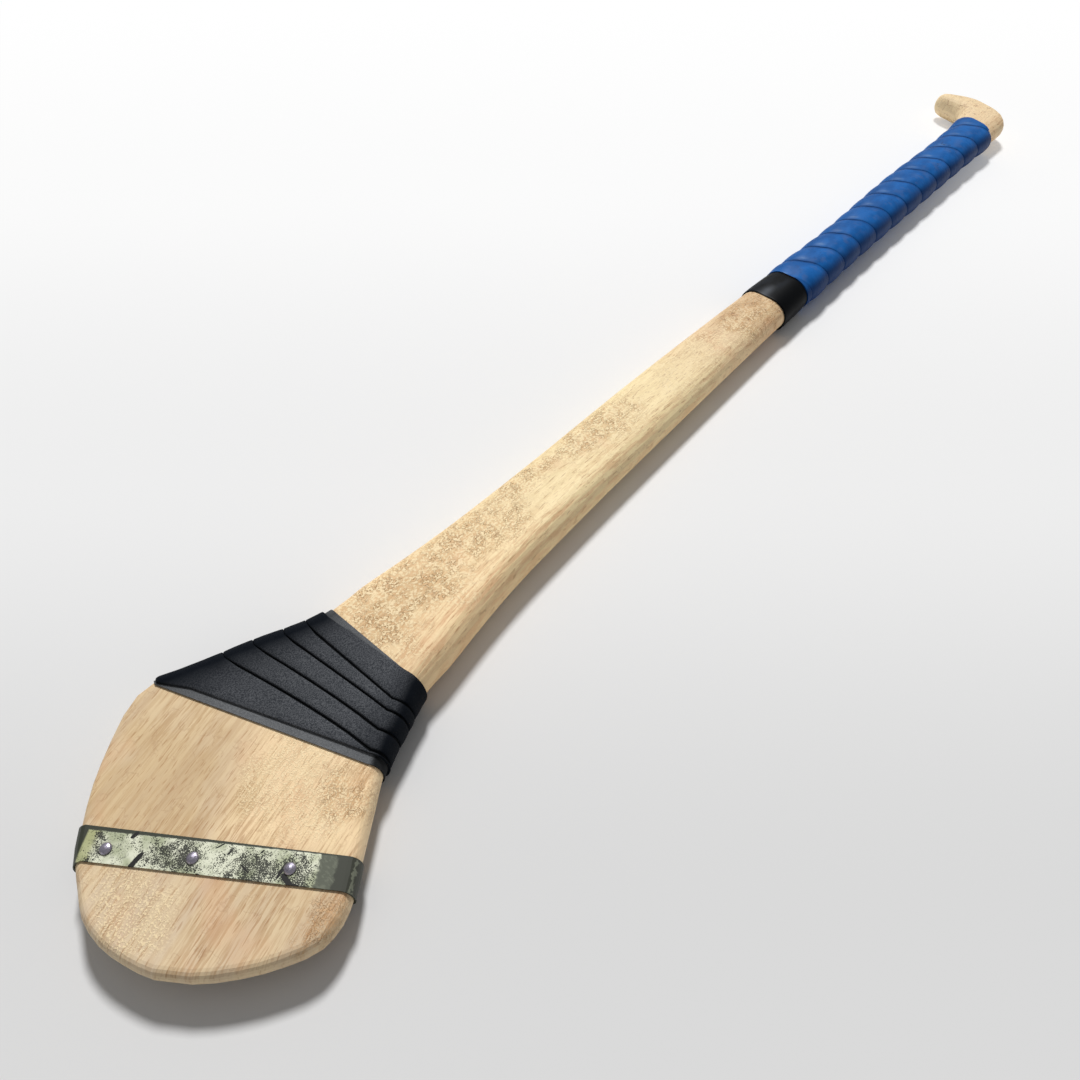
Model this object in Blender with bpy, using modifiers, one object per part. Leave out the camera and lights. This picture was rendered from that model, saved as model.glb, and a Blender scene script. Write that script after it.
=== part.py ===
"""A hurley: one ash stick with a steel toe band, a taped shoulder and a wound handle grip.

The stick lies on its back. +X runs from the toe of the blade to the butt of the handle,
the toe bends towards -Y and the front face looks along +Z. All sizes are in metres.
"""

import math
from bisect import bisect_right
from typing import NamedTuple

import bmesh
import bpy
from mathutils import Vector

# Overall sizes
STICK_LENGTH = 0.889
PLANK_THICKNESS = 0.0205
HANDLE_THICKNESS = 0.0186
BLADE_BEND = math.radians(33.4)

# Blade: the faces are planed flat and taper towards the toe
TAPER_START = 0.118
TAPER_SLOPE = 0.048
EDGE_ROUNDING = 0.0032

# Lengthwise places, from the toe tip and from the butt
SHOULDER_X = 0.150
THIN_SHAFT_X = 0.300
KNOB_NECK = 0.062
KNOB_FULL = 0.030
KNOB_TIP_START = 0.018
KNOB_TIP_SLOPE = 0.07

# Clearances between pieces that touch
SEAT_GAP = 0.0003
TURN_GAP = 0.0005
PRESSED_FLAT = 0.0005

# Toe band. Its lap lies on the back, between the ring's points 17 and 18
BAND_THICKNESS = 0.0005
BAND_START = 17.25
BAND_CLIMB = (41.05, 41.20)
BAND_END = 41.50

# Tacks, placed across the blade from the heel edge
TACK_HEAD_RADIUS = 0.0021
TACK_HEAD_HEIGHT = 0.0011
TACK_SHANK_RADIUS = 0.0008
TACK_SHANK_LENGTH = 0.0038
TACK_POINT_LENGTH = 0.0012
TACK_LINE = -0.0166
FRONT_TACKS = (0.0095, 0.0393, 0.0722)
BACK_TACKS = (0.0135, 0.0423, 0.0712)
LAPPED_BACK_TACK = 3

# Shoulder wrap. In each turn the tape's lower edge is placed as a share of the wrap: at the
# heel edge, at the front's toe corner and at the toe edge
UNDERWRAP_THICKNESS = 0.0004
SHOULDER_TAPE_THICKNESS = 0.0008
SHOULDER_TAPE_EDGE = (
    (0.150, 0.335, 0.305),
    (0.278, 0.485, 0.460),
    (0.450, 0.700, 0.660),
    (0.620, 0.890, 0.890),
    (0.940, 0.940, 0.940),
)
SHOULDER_TAPE_TOP = 0.045
SHOULDER_TAPE_MIDDLE = 0.30
SHOULDER_FIRST_STATION = -5
SHOULDER_LAST_STATION = 111
SHOULDER_GROOVE = 0.0006

# Handle grip and its finishing tape. The turns widen towards the knob
GRIP_THICKNESS = 0.0009
GRIP_SEAT_GAP = 0.00035
GRIP_TURNS = 12.37
GRIP_TURN_GROWTH = 0.009
GRIP_FIRST_STATION = 8
GRIP_OVERLAP = 0.0030
GRIP_END = 0.0612
GRIP_LENGTH = 0.3350
GRIP_START_SLANT = 0.165
GRIP_END_SLANT = 0.40
FINISHING_TAPE_WIDTH = 0.0302
FINISHING_TAPE_THICKNESS = 0.0006
FINISHING_TAPE_START = 15
FINISHING_TAPE_CLIMB = (37, 38.5)
FINISHING_TAPE_END = 42

# Mesh steps
ROUNDING_STEPS = 5
RING_POINTS = 4 * ROUNDING_STEPS + 4
FRONT_MIDDLE = ROUNDING_STEPS + 1
TOE_EDGE = 2 * ROUNDING_STEPS + 2
BACK_MIDDLE = 3 * ROUNDING_STEPS + 3
TACK_SEGMENTS = 16


class Rib(NamedTuple):
    """A line across the stick in plan, from its heel edge to its toe edge."""

    heel: Vector
    toe: Vector
    rounding: float
    steps: int


class Finish(NamedTuple):
    """What a piece's surface is like."""

    colour: tuple
    roughness: float
    metallic: float


ASH = Finish((0.62, 0.44, 0.26), 0.55, 0.0)
WORN_PAINTED_STEEL = Finish((0.38, 0.41, 0.34), 0.50, 0.6)
BRIGHT_STEEL = Finish((0.60, 0.60, 0.62), 0.25, 1.0)
GREY_CLOTH = Finish((0.09, 0.10, 0.11), 0.80, 0.0)
CHARCOAL_CLOTH = Finish((0.035, 0.04, 0.05), 0.85, 0.0)
BLUE_GRIP = Finish((0.02, 0.10, 0.40), 0.45, 0.0)
BLACK_TAPE = Finish((0.01, 0.01, 0.012), 0.35, 0.0)


def blade_point(across, along):
    """Return the plan point that lies across and along the bent blade's own axes."""
    sine, cosine = math.sin(BLADE_BEND), math.cos(BLADE_BEND)
    return Vector((across * sine - along * cosine, -across * cosine - along * sine))


def blade_rib(heel, toe, steps):
    """Return a rib given by its ends across and along the blade."""
    return Rib(blade_point(*heel), blade_point(*toe), EDGE_ROUNDING, steps)


def shaft_rib(x, heel_side, toe_side, rounding, steps):
    """Return a rib square to the shaft, with its width on each side of the axis."""
    return Rib(Vector((x, heel_side)), Vector((x, -toe_side)), rounding, steps)


def knob_rib(heel, toe, rounding, steps):
    """Return a rib across the knob, with its ends measured from the butt and the axis."""
    ends = [Vector((STICK_LENGTH - from_butt, side)) for from_butt, side in (heel, toe)]
    return Rib(*ends, rounding, steps)


# Ribs from the toe tip to the butt. Steps counts the mesh rows up to the next rib.
RIBS = (
    blade_rib((0.0390, 0.0183), (0.0510, 0.0183), 2),
    blade_rib((0.0285, 0.0155), (0.0650, 0.0154), 2),
    blade_rib((0.0180, 0.0110), (0.0785, 0.0102), 2),
    blade_rib((0.0095, 0.0043), (0.0880, 0.0042), 2),
    blade_rib((0.0042, -0.0035), (0.0924, -0.0035), 2),
    blade_rib((-0.0001, -0.0106), (0.0937, -0.0112), 2),
    blade_rib((-0.0041, -0.0228), (0.0934, -0.0226), 3),
    blade_rib((-0.0083, -0.0460), (0.0931, -0.0420), 4),
    Rib(Vector((0.0664, 0.0472)), Vector((0.0968, -0.0475)), 0.0045, 2),
    Rib(Vector((0.0750, 0.0431)), Vector((0.1024, -0.0442)), 0.0048, 4),
    Rib(Vector((0.0998, 0.0333)), Vector((0.1157, -0.0392)), 0.0055, 5),
    Rib(Vector((0.1318, 0.0211)), Vector((0.1312, -0.0338)), 0.0065, 2),
    shaft_rib(0.148, 0.0212, 0.0322, 0.0070, 2),
    shaft_rib(0.165, 0.0199, 0.0295, 0.0075, 3),
    shaft_rib(0.195, 0.0182, 0.0257, 0.0080, 3),
    shaft_rib(0.240, 0.0175, 0.0230, 0.0085, 3),
    shaft_rib(0.330, 0.0182, 0.0198, 0.0100, 4),
    shaft_rib(0.465, 0.0161, 0.0161, 0.0120, 3),
    shaft_rib(0.560, 0.0128, 0.0143, 0.0116, 3),
    shaft_rib(0.680, 0.0147, 0.0155, 0.0120, 3),
    shaft_rib(STICK_LENGTH - 0.100, 0.0134, 0.0174, 0.0125, 3),
    shaft_rib(STICK_LENGTH - KNOB_NECK, 0.0150, 0.0190, 0.0125, 3),
    shaft_rib(STICK_LENGTH - 0.048, 0.0175, 0.0194, 0.0115, 3),
    shaft_rib(STICK_LENGTH - 0.035, 0.0212, 0.0188, 0.0105, 3),
    knob_rib((0.0285, 0.0264), (0.0266, -0.0150), 0.0090, 2),
    knob_rib((0.0226, 0.0358), (0.0192, -0.0078), 0.0075, 1),
    knob_rib((0.0190, 0.0436), (0.0156, -0.0026), 0.0066, 1),
    knob_rib((0.0145, 0.0487), (0.0124, 0.0028), 0.0062, 2),
    knob_rib((0.0088, 0.0506), (0.0078, 0.0100), 0.0060, 2),
    knob_rib((0.0034, 0.0488), (0.0032, 0.0195), 0.0060, 2),
    knob_rib((0.0006, 0.0432), (0.0006, 0.0310), 0.0060, 0),
)
BAND_LOWER_RIB = 5
BAND_UPPER_RIB = 6
WRAP_LOWER_RIB = 8
WRAP_UPPER_RIB = 11


def closed_outline():
    """Return the outline's points, heel side first, and the distance run at each."""
    points = [rib.heel for rib in RIBS] + [rib.toe for rib in reversed(RIBS)]
    runs = [0.0]
    for start, end in zip(points, points[1:] + points[:1]):
        runs.append(runs[-1] + (end - start).length)
    return points, runs


OUTLINE, RUNS = closed_outline()


def outline_tangent(index):
    """Return the outline's slope at one of its points, from its two neighbours."""
    count = len(OUTLINE)
    here = OUTLINE[index % count]
    before = here - OUTLINE[(index - 1) % count]
    after = OUTLINE[(index + 1) % count] - here
    slope_before = before / before.length
    slope_after = after / after.length
    total = before.length + after.length
    return (slope_before * after.length + slope_after * before.length) / total


def outline_at(run):
    """Return the plan point and the unit inward normal at a distance along the outline."""
    run %= RUNS[-1]
    index = min(bisect_right(RUNS, run) - 1, len(OUTLINE) - 1)
    start, end = OUTLINE[index], OUTLINE[(index + 1) % len(OUTLINE)]
    span = RUNS[index + 1] - RUNS[index]
    t = (run - RUNS[index]) / span
    slope_in, slope_out = outline_tangent(index) * span, outline_tangent(index + 1) * span
    point = (
        start * (2 * t**3 - 3 * t**2 + 1)
        + slope_in * (t**3 - 2 * t**2 + t)
        + end * (3 * t**2 - 2 * t**3)
        + slope_out * (t**3 - t**2)
    )
    along = (
        start * (6 * t**2 - 6 * t)
        + slope_in * (3 * t**2 - 4 * t + 1)
        + end * (6 * t - 6 * t**2)
        + slope_out * (3 * t**2 - 2 * t)
    )
    along.normalize()
    return point, Vector((along.y, -along.x))


def mix(first, second, share):
    """Return the value that lies a share of the way from first to second."""
    return first + (second - first) * share


def smooth_step(value, low, high):
    """Rise smoothly from 0 at low to 1 at high."""
    t = min(max((value - low) / (high - low), 0.0), 1.0)
    return t * t * (3 - 2 * t)


def half_thickness(point):
    """Return the wood's half thickness above a plan point."""
    shaft_share = smooth_step(point.x, SHOULDER_X, THIN_SHAFT_X)
    knob_share = smooth_step(point.x, STICK_LENGTH - KNOB_NECK, STICK_LENGTH - KNOB_FULL)
    thickness = mix(PLANK_THICKNESS, HANDLE_THICKNESS, shaft_share * (1 - knob_share))
    blade_axis = blade_point(0.0, 1.0)
    along = point.dot(blade_axis)
    blade_loss = TAPER_SLOPE * max(along + TAPER_START, 0.0)
    knob_loss = KNOB_TIP_SLOPE * max(point.y - KNOB_TIP_START, 0.0) * knob_share
    return thickness / 2 - blade_loss - knob_loss


def rib_values(place):
    """Return both edge points, their inward normals and the rounding at a rib place."""
    index = min(int(place), len(RIBS) - 2)
    share = place - index
    last = len(OUTLINE) - 1
    heel_run = mix(RUNS[index], RUNS[index + 1], share)
    toe_run = mix(RUNS[last - index], RUNS[last - index - 1], share)
    rounding = mix(RIBS[index].rounding, RIBS[index + 1].rounding, share)
    return outline_at(heel_run), outline_at(toe_run), rounding


def whole_ring_point(place, number, lift):
    """Return one of the ring's points at a rib place, lifted square off the wood."""
    number %= RING_POINTS
    heel, toe, rounding = rib_values(place)
    if number in (FRONT_MIDDLE, BACK_MIDDLE):
        inner_heel = heel[0] + heel[1] * rounding
        inner_toe = toe[0] + toe[1] * rounding
        plan = (inner_heel + inner_toe) / 2
        side = 1 if number == FRONT_MIDDLE else -1
        return Vector((plan.x, plan.y, side * (half_thickness(plan) + lift)))
    front = number < FRONT_MIDDLE or FRONT_MIDDLE < number <= TOE_EDGE
    near_heel = number < FRONT_MIDDLE or number > BACK_MIDDLE
    (edge, inward) = heel if near_heel else toe
    step = min(abs(number - (0 if near_heel else TOE_EDGE)), RING_POINTS - number)
    angle = math.radians(90) * step / ROUNDING_STEPS
    plan = edge + inward * (rounding * (1 - math.cos(angle)))
    height = half_thickness(plan)
    normal = Vector((math.cos(angle) / rounding, math.sin(angle) / height)).normalized()
    plan -= inward * (normal.x * lift)
    side = 1 if front else -1
    return Vector((plan.x, plan.y, side * (height * math.sin(angle) + normal.y * lift)))


def surface_point(place, around, lift=0.0):
    """Return a point on the wood, or lifted off it, between the ring's points."""
    number = math.floor(around)
    share = around - number
    point = whole_ring_point(place, number, lift)
    if share == 0:
        return point
    return point.lerp(whole_ring_point(place, number + 1, lift), share)


def rib_place_at(x):
    """Return the rib place where the shaft's middle stands at x."""
    low, high = float(WRAP_UPPER_RIB), float(len(RIBS) - 1)
    for _ in range(40):
        middle = (low + high) / 2
        if surface_point(middle, FRONT_MIDDLE).x < x:
            low = middle
        else:
            high = middle
    return (low + high) / 2


LIE_HEIGHT = (
    PLANK_THICKNESS / 2
    + SEAT_GAP
    + UNDERWRAP_THICKNESS
    + SEAT_GAP
    + SHOULDER_TAPE_THICKNESS
    - PRESSED_FLAT
)


def pressed(point):
    """Flatten a soft point where the piece lies on the table."""
    return Vector((point.x, point.y, max(point.z, -LIE_HEIGHT)))


def make_material(name, finish):
    """Return a material with one finish."""
    material = bpy.data.materials.new(name)
    material.use_nodes = True
    shader = material.node_tree.nodes["Principled BSDF"]
    shader.inputs["Base Color"].default_value = (*finish.colour, 1.0)
    shader.inputs["Roughness"].default_value = finish.roughness
    shader.inputs["Metallic"].default_value = finish.metallic
    return material


def add_piece(name, mesh, finish, parent, collection):
    """Put a mesh in the collection as a named piece with its own material."""
    piece = bpy.data.objects.new(name, mesh)
    if not mesh.materials:
        mesh.materials.append(make_material(name, finish))
    piece.parent = parent
    collection.objects.link(piece)
    return piece


def mesh_from_rows(name, rows, closed_rows, sharp_angle=40.0):
    """Skin equal rows of points into a closed mesh, with its ends capped or joined."""
    work = bmesh.new()
    grid = [[work.verts.new(point) for point in row] for row in rows]
    pairs = list(zip(grid, grid[1:]))
    if closed_rows:
        pairs.append((grid[-1], grid[0]))
    else:
        for row in (grid[0], grid[-1]):
            for near in range(len(row) // 2 - 1):
                work.faces.new((row[near], row[near + 1], row[-near - 2], row[-near - 1]))
    for row, next_row in pairs:
        for number in range(len(row)):
            following = (number + 1) % len(row)
            work.faces.new((row[number], next_row[number], next_row[following], row[following]))
    bmesh.ops.recalc_face_normals(work, faces=work.faces)
    mesh = bpy.data.meshes.new(name)
    work.to_mesh(mesh)
    work.free()
    mesh.shade_smooth()
    mesh.set_sharp_from_angle(angle=math.radians(sharp_angle))
    return mesh


def row_places():
    """Return the rib places of the stick's mesh rows."""
    places = []
    for index, rib in enumerate(RIBS[:-1]):
        places.extend(index + step / rib.steps for step in range(rib.steps))
    return places + [float(len(RIBS) - 1)]


def stick_mesh():
    """Return the ash stick: rounded edges all round the outline and two faces between."""
    work = bmesh.new()
    places = row_places()
    rings = [[work.verts.new(surface_point(p, n)) for n in range(RING_POINTS)] for p in places]
    for ring, next_ring in zip(rings, rings[1:]):
        for number in range(RING_POINTS):
            following = (number + 1) % RING_POINTS
            work.faces.new((ring[number], next_ring[number], next_ring[following], ring[following]))
    for ring in (rings[0], rings[-1]):
        for step in range(ROUNDING_STEPS):
            front_heel, front_toe = ring[step], ring[TOE_EDGE - step]
            back_heel, back_toe = ring[-step], ring[TOE_EDGE + step]
            next_heel, next_toe = ring[step + 1], ring[TOE_EDGE - step - 1]
            under_heel, under_toe = ring[-step - 1], ring[TOE_EDGE + step + 1]
            work.faces.new((front_heel, next_heel, next_toe, front_toe))
            work.faces.new((back_heel, under_heel, under_toe, back_toe))
        work.faces.new((ring[ROUNDING_STEPS], ring[FRONT_MIDDLE], ring[FRONT_MIDDLE + 1]))
        work.faces.new((ring[BACK_MIDDLE - 1], ring[BACK_MIDDLE], ring[BACK_MIDDLE + 1]))
    bmesh.ops.recalc_face_normals(work, faces=work.faces)
    mesh = bpy.data.meshes.new("ash_stick")
    work.to_mesh(mesh)
    work.free()
    mesh.shade_smooth()
    mesh.set_sharp_from_angle(angle=math.radians(50))
    return mesh


def strip_section(around, edges, lift, thickness):
    """Return a strip's cross-section: a bottom row of points, then a top row back."""
    rows_across = len(edges)
    inner = [surface_point(edges[n], around, lift[n]) for n in range(rows_across)]
    outer = [surface_point(edges[n], around, lift[n] + thickness) for n in range(rows_across)]
    return [pressed(point) for point in inner + outer[::-1]]


def distance_to_segment(point, start, end):
    """Return a point's distance to a straight segment."""
    along = end - start
    share = min(max((point - start).dot(along) / along.length_squared, 0.0), 1.0)
    return (point - start - along * share).length


def least_gap(sections):
    """Return the least distance from each section to the strip one turn later."""
    gap = math.inf
    for index in range(len(sections) - RING_POINTS - 1):
        nearby = sections[index + RING_POINTS - 2 : index + RING_POINTS + 3]
        edges = [(a, b) for later in nearby for a, b in zip(later, later[1:] + later[:1])]
        edges += [pair for later, beyond in zip(nearby, nearby[1:]) for pair in zip(later, beyond)]
        for point in sections[index]:
            gap = min(gap, *(distance_to_segment(point, start, end) for start, end in edges))
    return gap


def lapped_sections(places_at, stations, climb, thickness):
    """Return the sections of a strip that runs once round and climbs over its own start."""
    sections = []
    for around in stations:
        places = places_at(around)
        rise = smooth_step(around, *climb) * (thickness + TURN_GAP)
        lifts = [SEAT_GAP + rise] * len(places)
        sections.append(strip_section(around, places, lifts, thickness))
    return sections


def toe_band_sections():
    """Return the toe band's sections, over the stick's own mesh rows."""
    places = [place for place in row_places() if BAND_LOWER_RIB <= place <= BAND_UPPER_RIB]
    whole_steps = range(math.ceil(BAND_START), math.floor(BAND_END) + 1)
    middle_of_climb = sum(BAND_CLIMB) / 2
    stations = [BAND_START, *whole_steps, *BAND_CLIMB, middle_of_climb, BAND_END]
    return lapped_sections(lambda around: places, sorted(stations), BAND_CLIMB, BAND_THICKNESS)


def slanted_x(x, around, slant):
    """Return how far along a slanted line across the shaft lies at one of the ring's points."""
    return x + slant * surface_point(rib_place_at(x), around).y


def finishing_tape_places(around):
    """Return the rib places of the finishing tape's upper edge, middle and lower edge."""
    upper = STICK_LENGTH - GRIP_END - GRIP_LENGTH - SEAT_GAP
    across = (upper - FINISHING_TAPE_WIDTH * share for share in (0.0, 0.5, 1.0))
    return [rib_place_at(slanted_x(x, around, GRIP_START_SLANT)) for x in across]


def finishing_tape_sections():
    """Return the sections of the tape that ends the grip."""
    stations = range(FINISHING_TAPE_START, FINISHING_TAPE_END + 1)
    climb = FINISHING_TAPE_CLIMB
    return lapped_sections(finishing_tape_places, stations, climb, FINISHING_TAPE_THICKNESS)


def underwrap_sections():
    """Return the sections of the sleeve under the shoulder tape, one at each ring point."""
    places = [place for place in row_places() if WRAP_LOWER_RIB <= place <= WRAP_UPPER_RIB]
    lifts = [SEAT_GAP] * len(places)
    return [
        strip_section(number, places, lifts, UNDERWRAP_THICKNESS)
        for number in range(RING_POINTS)
    ]


def wrap_place(share):
    """Return the rib place that lies a share of the way down the shoulder wrap."""
    run = mix(RUNS[WRAP_UPPER_RIB], RUNS[WRAP_LOWER_RIB], share)
    index = min(bisect_right(RUNS, run) - 1, WRAP_UPPER_RIB - 1)
    return index + (run - RUNS[index]) / (RUNS[index + 1] - RUNS[index])


def front_share(number):
    """Return a ring point's share of the front, on a straight line over the fanned ribs."""
    if number <= ROUNDING_STEPS:
        return 0.0
    return SHOULDER_TAPE_MIDDLE if number == FRONT_MIDDLE else 1.0


def shoulder_tape_edge(station):
    """Return how far down the shoulder the tape's lower edge lies at one of its stations."""
    last_turn = len(SHOULDER_TAPE_EDGE) - 1
    turn, number = divmod(max(station, 0), RING_POINTS)
    heel, front_corner, toe = SHOULDER_TAPE_EDGE[min(turn, last_turn)]
    next_heel = SHOULDER_TAPE_EDGE[min(turn + 1, last_turn)][0]
    if number <= ROUNDING_STEPS + 2:
        return mix(heel, front_corner, front_share(number))
    if number <= TOE_EDGE:
        return mix(front_corner, toe, (number - ROUNDING_STEPS - 2) / ROUNDING_STEPS)
    return mix(toe, next_heel, min((number - TOE_EDGE) / (ROUNDING_STEPS + 2), 1.0))


def shoulder_tape_sections():
    """Return the shoulder tape's sections: one strip wound down the shoulder side by side."""
    lift = 2 * SEAT_GAP + UNDERWRAP_THICKNESS
    second_turn = SHOULDER_FIRST_STATION + RING_POINTS
    sections = []
    for station in range(SHOULDER_FIRST_STATION, SHOULDER_LAST_STATION + 1):
        upper, lower = SHOULDER_TAPE_TOP * (1 - front_share(station)), shoulder_tape_edge(station)
        if station >= second_turn:
            top = surface_point(WRAP_UPPER_RIB, station)
            wrap_length = (surface_point(WRAP_LOWER_RIB, station) - top).length
            upper = shoulder_tape_edge(station - RING_POINTS) + SHOULDER_GROOVE / wrap_length
        places = [wrap_place(mix(upper, lower, third / 3)) for third in range(4)]
        sections.append(strip_section(station, places, [lift] * 4, SHOULDER_TAPE_THICKNESS))
    return sections


def grip_edge(turn):
    """Return how far up the handle the grip's lower edge lies after some turns."""
    growth = 1 + GRIP_TURN_GROWTH * (turn - GRIP_TURNS)
    return STICK_LENGTH - GRIP_END - GRIP_LENGTH + turn * growth * GRIP_LENGTH / GRIP_TURNS


def grip_sections():
    """Return the grip's sections: a wide strip wound up the handle, each turn on the last."""
    end = STICK_LENGTH - GRIP_END
    sections = []
    first = GRIP_FIRST_STATION - RING_POINTS - 2
    last = GRIP_FIRST_STATION + math.ceil(GRIP_TURNS * RING_POINTS)
    for station in range(first, last):
        turn = (station - GRIP_FIRST_STATION) / RING_POINTS
        low_edge, next_edge = grip_edge(turn), grip_edge(turn + 1)
        high_edge = next_edge + GRIP_OVERLAP
        low = max(low_edge, slanted_x(end - GRIP_LENGTH, station, GRIP_START_SLANT))
        high = min(high_edge, slanted_x(end, station, GRIP_END_SLANT))
        if high - low < 0.1 * (high_edge - low_edge):
            continue
        climb = (GRIP_THICKNESS + TURN_GAP) / (next_edge - low_edge)
        xs = (high, mix(high, low, 0.5), low)
        lifts = [GRIP_SEAT_GAP + climb * (high_edge - x) for x in xs]
        places = [rib_place_at(x) for x in xs]
        sections.append(strip_section(station, places, lifts, GRIP_THICKNESS))
    return sections


def tack_mesh():
    """Return half of a tack's outline: a domed head on a pointed shank."""
    profile = [
        (0.0, TACK_HEAD_HEIGHT),
        (0.45 * TACK_HEAD_RADIUS, 0.90 * TACK_HEAD_HEIGHT),
        (0.80 * TACK_HEAD_RADIUS, 0.58 * TACK_HEAD_HEIGHT),
        (TACK_HEAD_RADIUS, 0.12 * TACK_HEAD_HEIGHT),
        (0.97 * TACK_HEAD_RADIUS, 0.0),
        (TACK_SHANK_RADIUS, 0.0),
        (TACK_SHANK_RADIUS, TACK_POINT_LENGTH - TACK_SHANK_LENGTH),
        (0.0, -TACK_SHANK_LENGTH),
    ]
    mesh = bpy.data.meshes.new("tack_outline")
    edges = [(number, number + 1) for number in range(len(profile) - 1)]
    mesh.from_pydata([(radius, 0.0, height) for radius, height in profile], edges, [])
    return mesh


def add_tacks(side, root, pieces, cutters):
    """Add the tacks of one face, and return the cutters of their holes."""
    blade_across, blade_along = blade_point(1.0, 0.0), blade_point(0.0, 1.0)
    outward = Vector((*(blade_along * TAPER_SLOPE), 1.0)).normalized()
    name, places = ("front_tack", FRONT_TACKS)
    if side < 0:
        outward.z *= -1
        name, places = ("back_tack", BACK_TACKS)
    turn = outward.to_track_quat("Z", "X").to_euler()
    hole_radius = TACK_SHANK_RADIUS + SEAT_GAP
    holes = []
    for number, across in enumerate(places, start=1):
        plan = blade_across * across + blade_along * TACK_LINE
        on_wood = Vector((plan.x, plan.y, side * half_thickness(plan)))
        lift = 2 * SEAT_GAP + BAND_THICKNESS
        if side < 0 and number == LAPPED_BACK_TACK:
            lift += TURN_GAP + BAND_THICKNESS
        tack = add_piece(f"{name}_{number}", tack_mesh(), BRIGHT_STEEL, root, pieces)
        tack.location = on_wood + outward * lift
        tack.rotation_euler = turn
        spin = tack.modifiers.new("turned", "SCREW")
        spin.steps = spin.render_steps = TACK_SEGMENTS
        spin.use_merge_vertices = True
        spin.merge_threshold = 0.00005
        hole_depth = TACK_SHANK_LENGTH + SEAT_GAP
        bpy.ops.mesh.primitive_cylinder_add(
            vertices=TACK_SEGMENTS,
            radius=hole_radius,
            depth=hole_depth,
            location=tack.location - outward * (hole_depth / 2),
            rotation=turn,
        )
        hole = bpy.context.object
        hole.name = f"{name}_{number}_hole"
        hole.parent = root
        hole.hide_render = True
        hole.display_type = "WIRE"
        for collection in hole.users_collection:
            collection.objects.unlink(hole)
        cutters.objects.link(hole)
        holes.append(hole)
    return holes


def centre_on_table(root, pieces):
    """Move the root so that the pieces lie on the table, centred over the origin."""
    corners = [Vector(corner) for piece in pieces for corner in piece.bound_box]
    xs = [corner.x for corner in corners]
    ys = [corner.y for corner in corners]
    root.location = (-(min(xs) + max(xs)) / 2, -(min(ys) + max(ys)) / 2, LIE_HEIGHT)


def build():
    """Model the hurley."""
    for item in list(bpy.data.objects):
        bpy.data.objects.remove(item, do_unlink=True)
    pieces = bpy.data.collections.new("hurley")
    cutters = bpy.data.collections.new("cutters")
    for collection in (pieces, cutters):
        bpy.context.scene.collection.children.link(collection)
    root = bpy.data.objects.new("hurley", None)
    pieces.objects.link(root)
    stick = add_piece("ash_stick", stick_mesh(), ASH, root, pieces)
    shoulder_tape, grip = shoulder_tape_sections(), grip_sections()
    soft_pieces = (
        ("shoulder_tape", shoulder_tape, CHARCOAL_CLOTH),
        ("grip", grip, BLUE_GRIP),
        ("finishing_tape", finishing_tape_sections(), BLACK_TAPE),
    )
    for name, sections, finish in soft_pieces:
        add_piece(name, mesh_from_rows(name, sections, False), finish, root, pieces)
    underwrap = mesh_from_rows("shoulder_underwrap", underwrap_sections(), True)
    add_piece("shoulder_underwrap", underwrap, GREY_CLOTH, root, pieces)
    band_mesh = mesh_from_rows("toe_band", toe_band_sections(), False)
    band = add_piece("toe_band", band_mesh, WORN_PAINTED_STEEL, root, pieces)
    centre_on_table(root, [stick, band])
    for side in (1, -1):
        for hole in add_tacks(side, root, pieces, cutters):
            for piece in (stick, band):
                cut = piece.modifiers.new(hole.name, "BOOLEAN")
                cut.operation = "DIFFERENCE"
                cut.solver = "EXACT"
                cut.object = hole
    for name, sections in (("shoulder_tape", shoulder_tape), ("grip", grip)):
        print(f"{name}: least gap to itself {least_gap(sections) * 1000:.2f} mm")


build()
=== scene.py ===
"""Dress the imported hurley: worn ash, a painted toe band, cloth tape and a wound blue grip."""

import logging
import math
from bisect import bisect_right
from dataclasses import dataclass
from enum import Enum
from functools import lru_cache
from typing import Any, Callable, Iterable, Iterator, NamedTuple, Sequence

import bpy
import numpy as np
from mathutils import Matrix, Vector


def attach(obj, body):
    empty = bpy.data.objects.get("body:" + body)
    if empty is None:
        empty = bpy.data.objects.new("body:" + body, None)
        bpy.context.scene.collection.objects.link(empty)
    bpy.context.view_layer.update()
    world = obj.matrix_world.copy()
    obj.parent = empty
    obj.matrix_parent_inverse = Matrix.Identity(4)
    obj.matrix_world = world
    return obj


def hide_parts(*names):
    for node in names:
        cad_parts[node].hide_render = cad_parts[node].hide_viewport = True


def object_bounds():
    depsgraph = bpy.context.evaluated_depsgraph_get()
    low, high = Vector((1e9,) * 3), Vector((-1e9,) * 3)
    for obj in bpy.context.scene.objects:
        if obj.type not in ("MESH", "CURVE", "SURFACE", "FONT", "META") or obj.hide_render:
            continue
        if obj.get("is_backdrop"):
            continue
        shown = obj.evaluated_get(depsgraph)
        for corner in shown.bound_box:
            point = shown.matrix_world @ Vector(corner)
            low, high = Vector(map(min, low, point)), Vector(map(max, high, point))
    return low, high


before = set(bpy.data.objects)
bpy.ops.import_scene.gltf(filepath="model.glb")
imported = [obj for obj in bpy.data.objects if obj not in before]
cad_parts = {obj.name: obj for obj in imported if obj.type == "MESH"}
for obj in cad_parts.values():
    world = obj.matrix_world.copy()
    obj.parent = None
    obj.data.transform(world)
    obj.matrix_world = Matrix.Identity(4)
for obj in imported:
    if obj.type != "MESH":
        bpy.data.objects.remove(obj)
CAD_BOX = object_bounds()
LOG = logging.getLogger("hurley")
RING = 24.0
TOE_EDGE = 12.0
HEEL_CORNER = 5.0
TOE_CORNER = 7.0
STATIONS_PER_NUMBER = 4
Colour = tuple[float, float, float, float]
Point = tuple[float, float, float]
Section = tuple[list[Point], dict[str, list[float]]]


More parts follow.
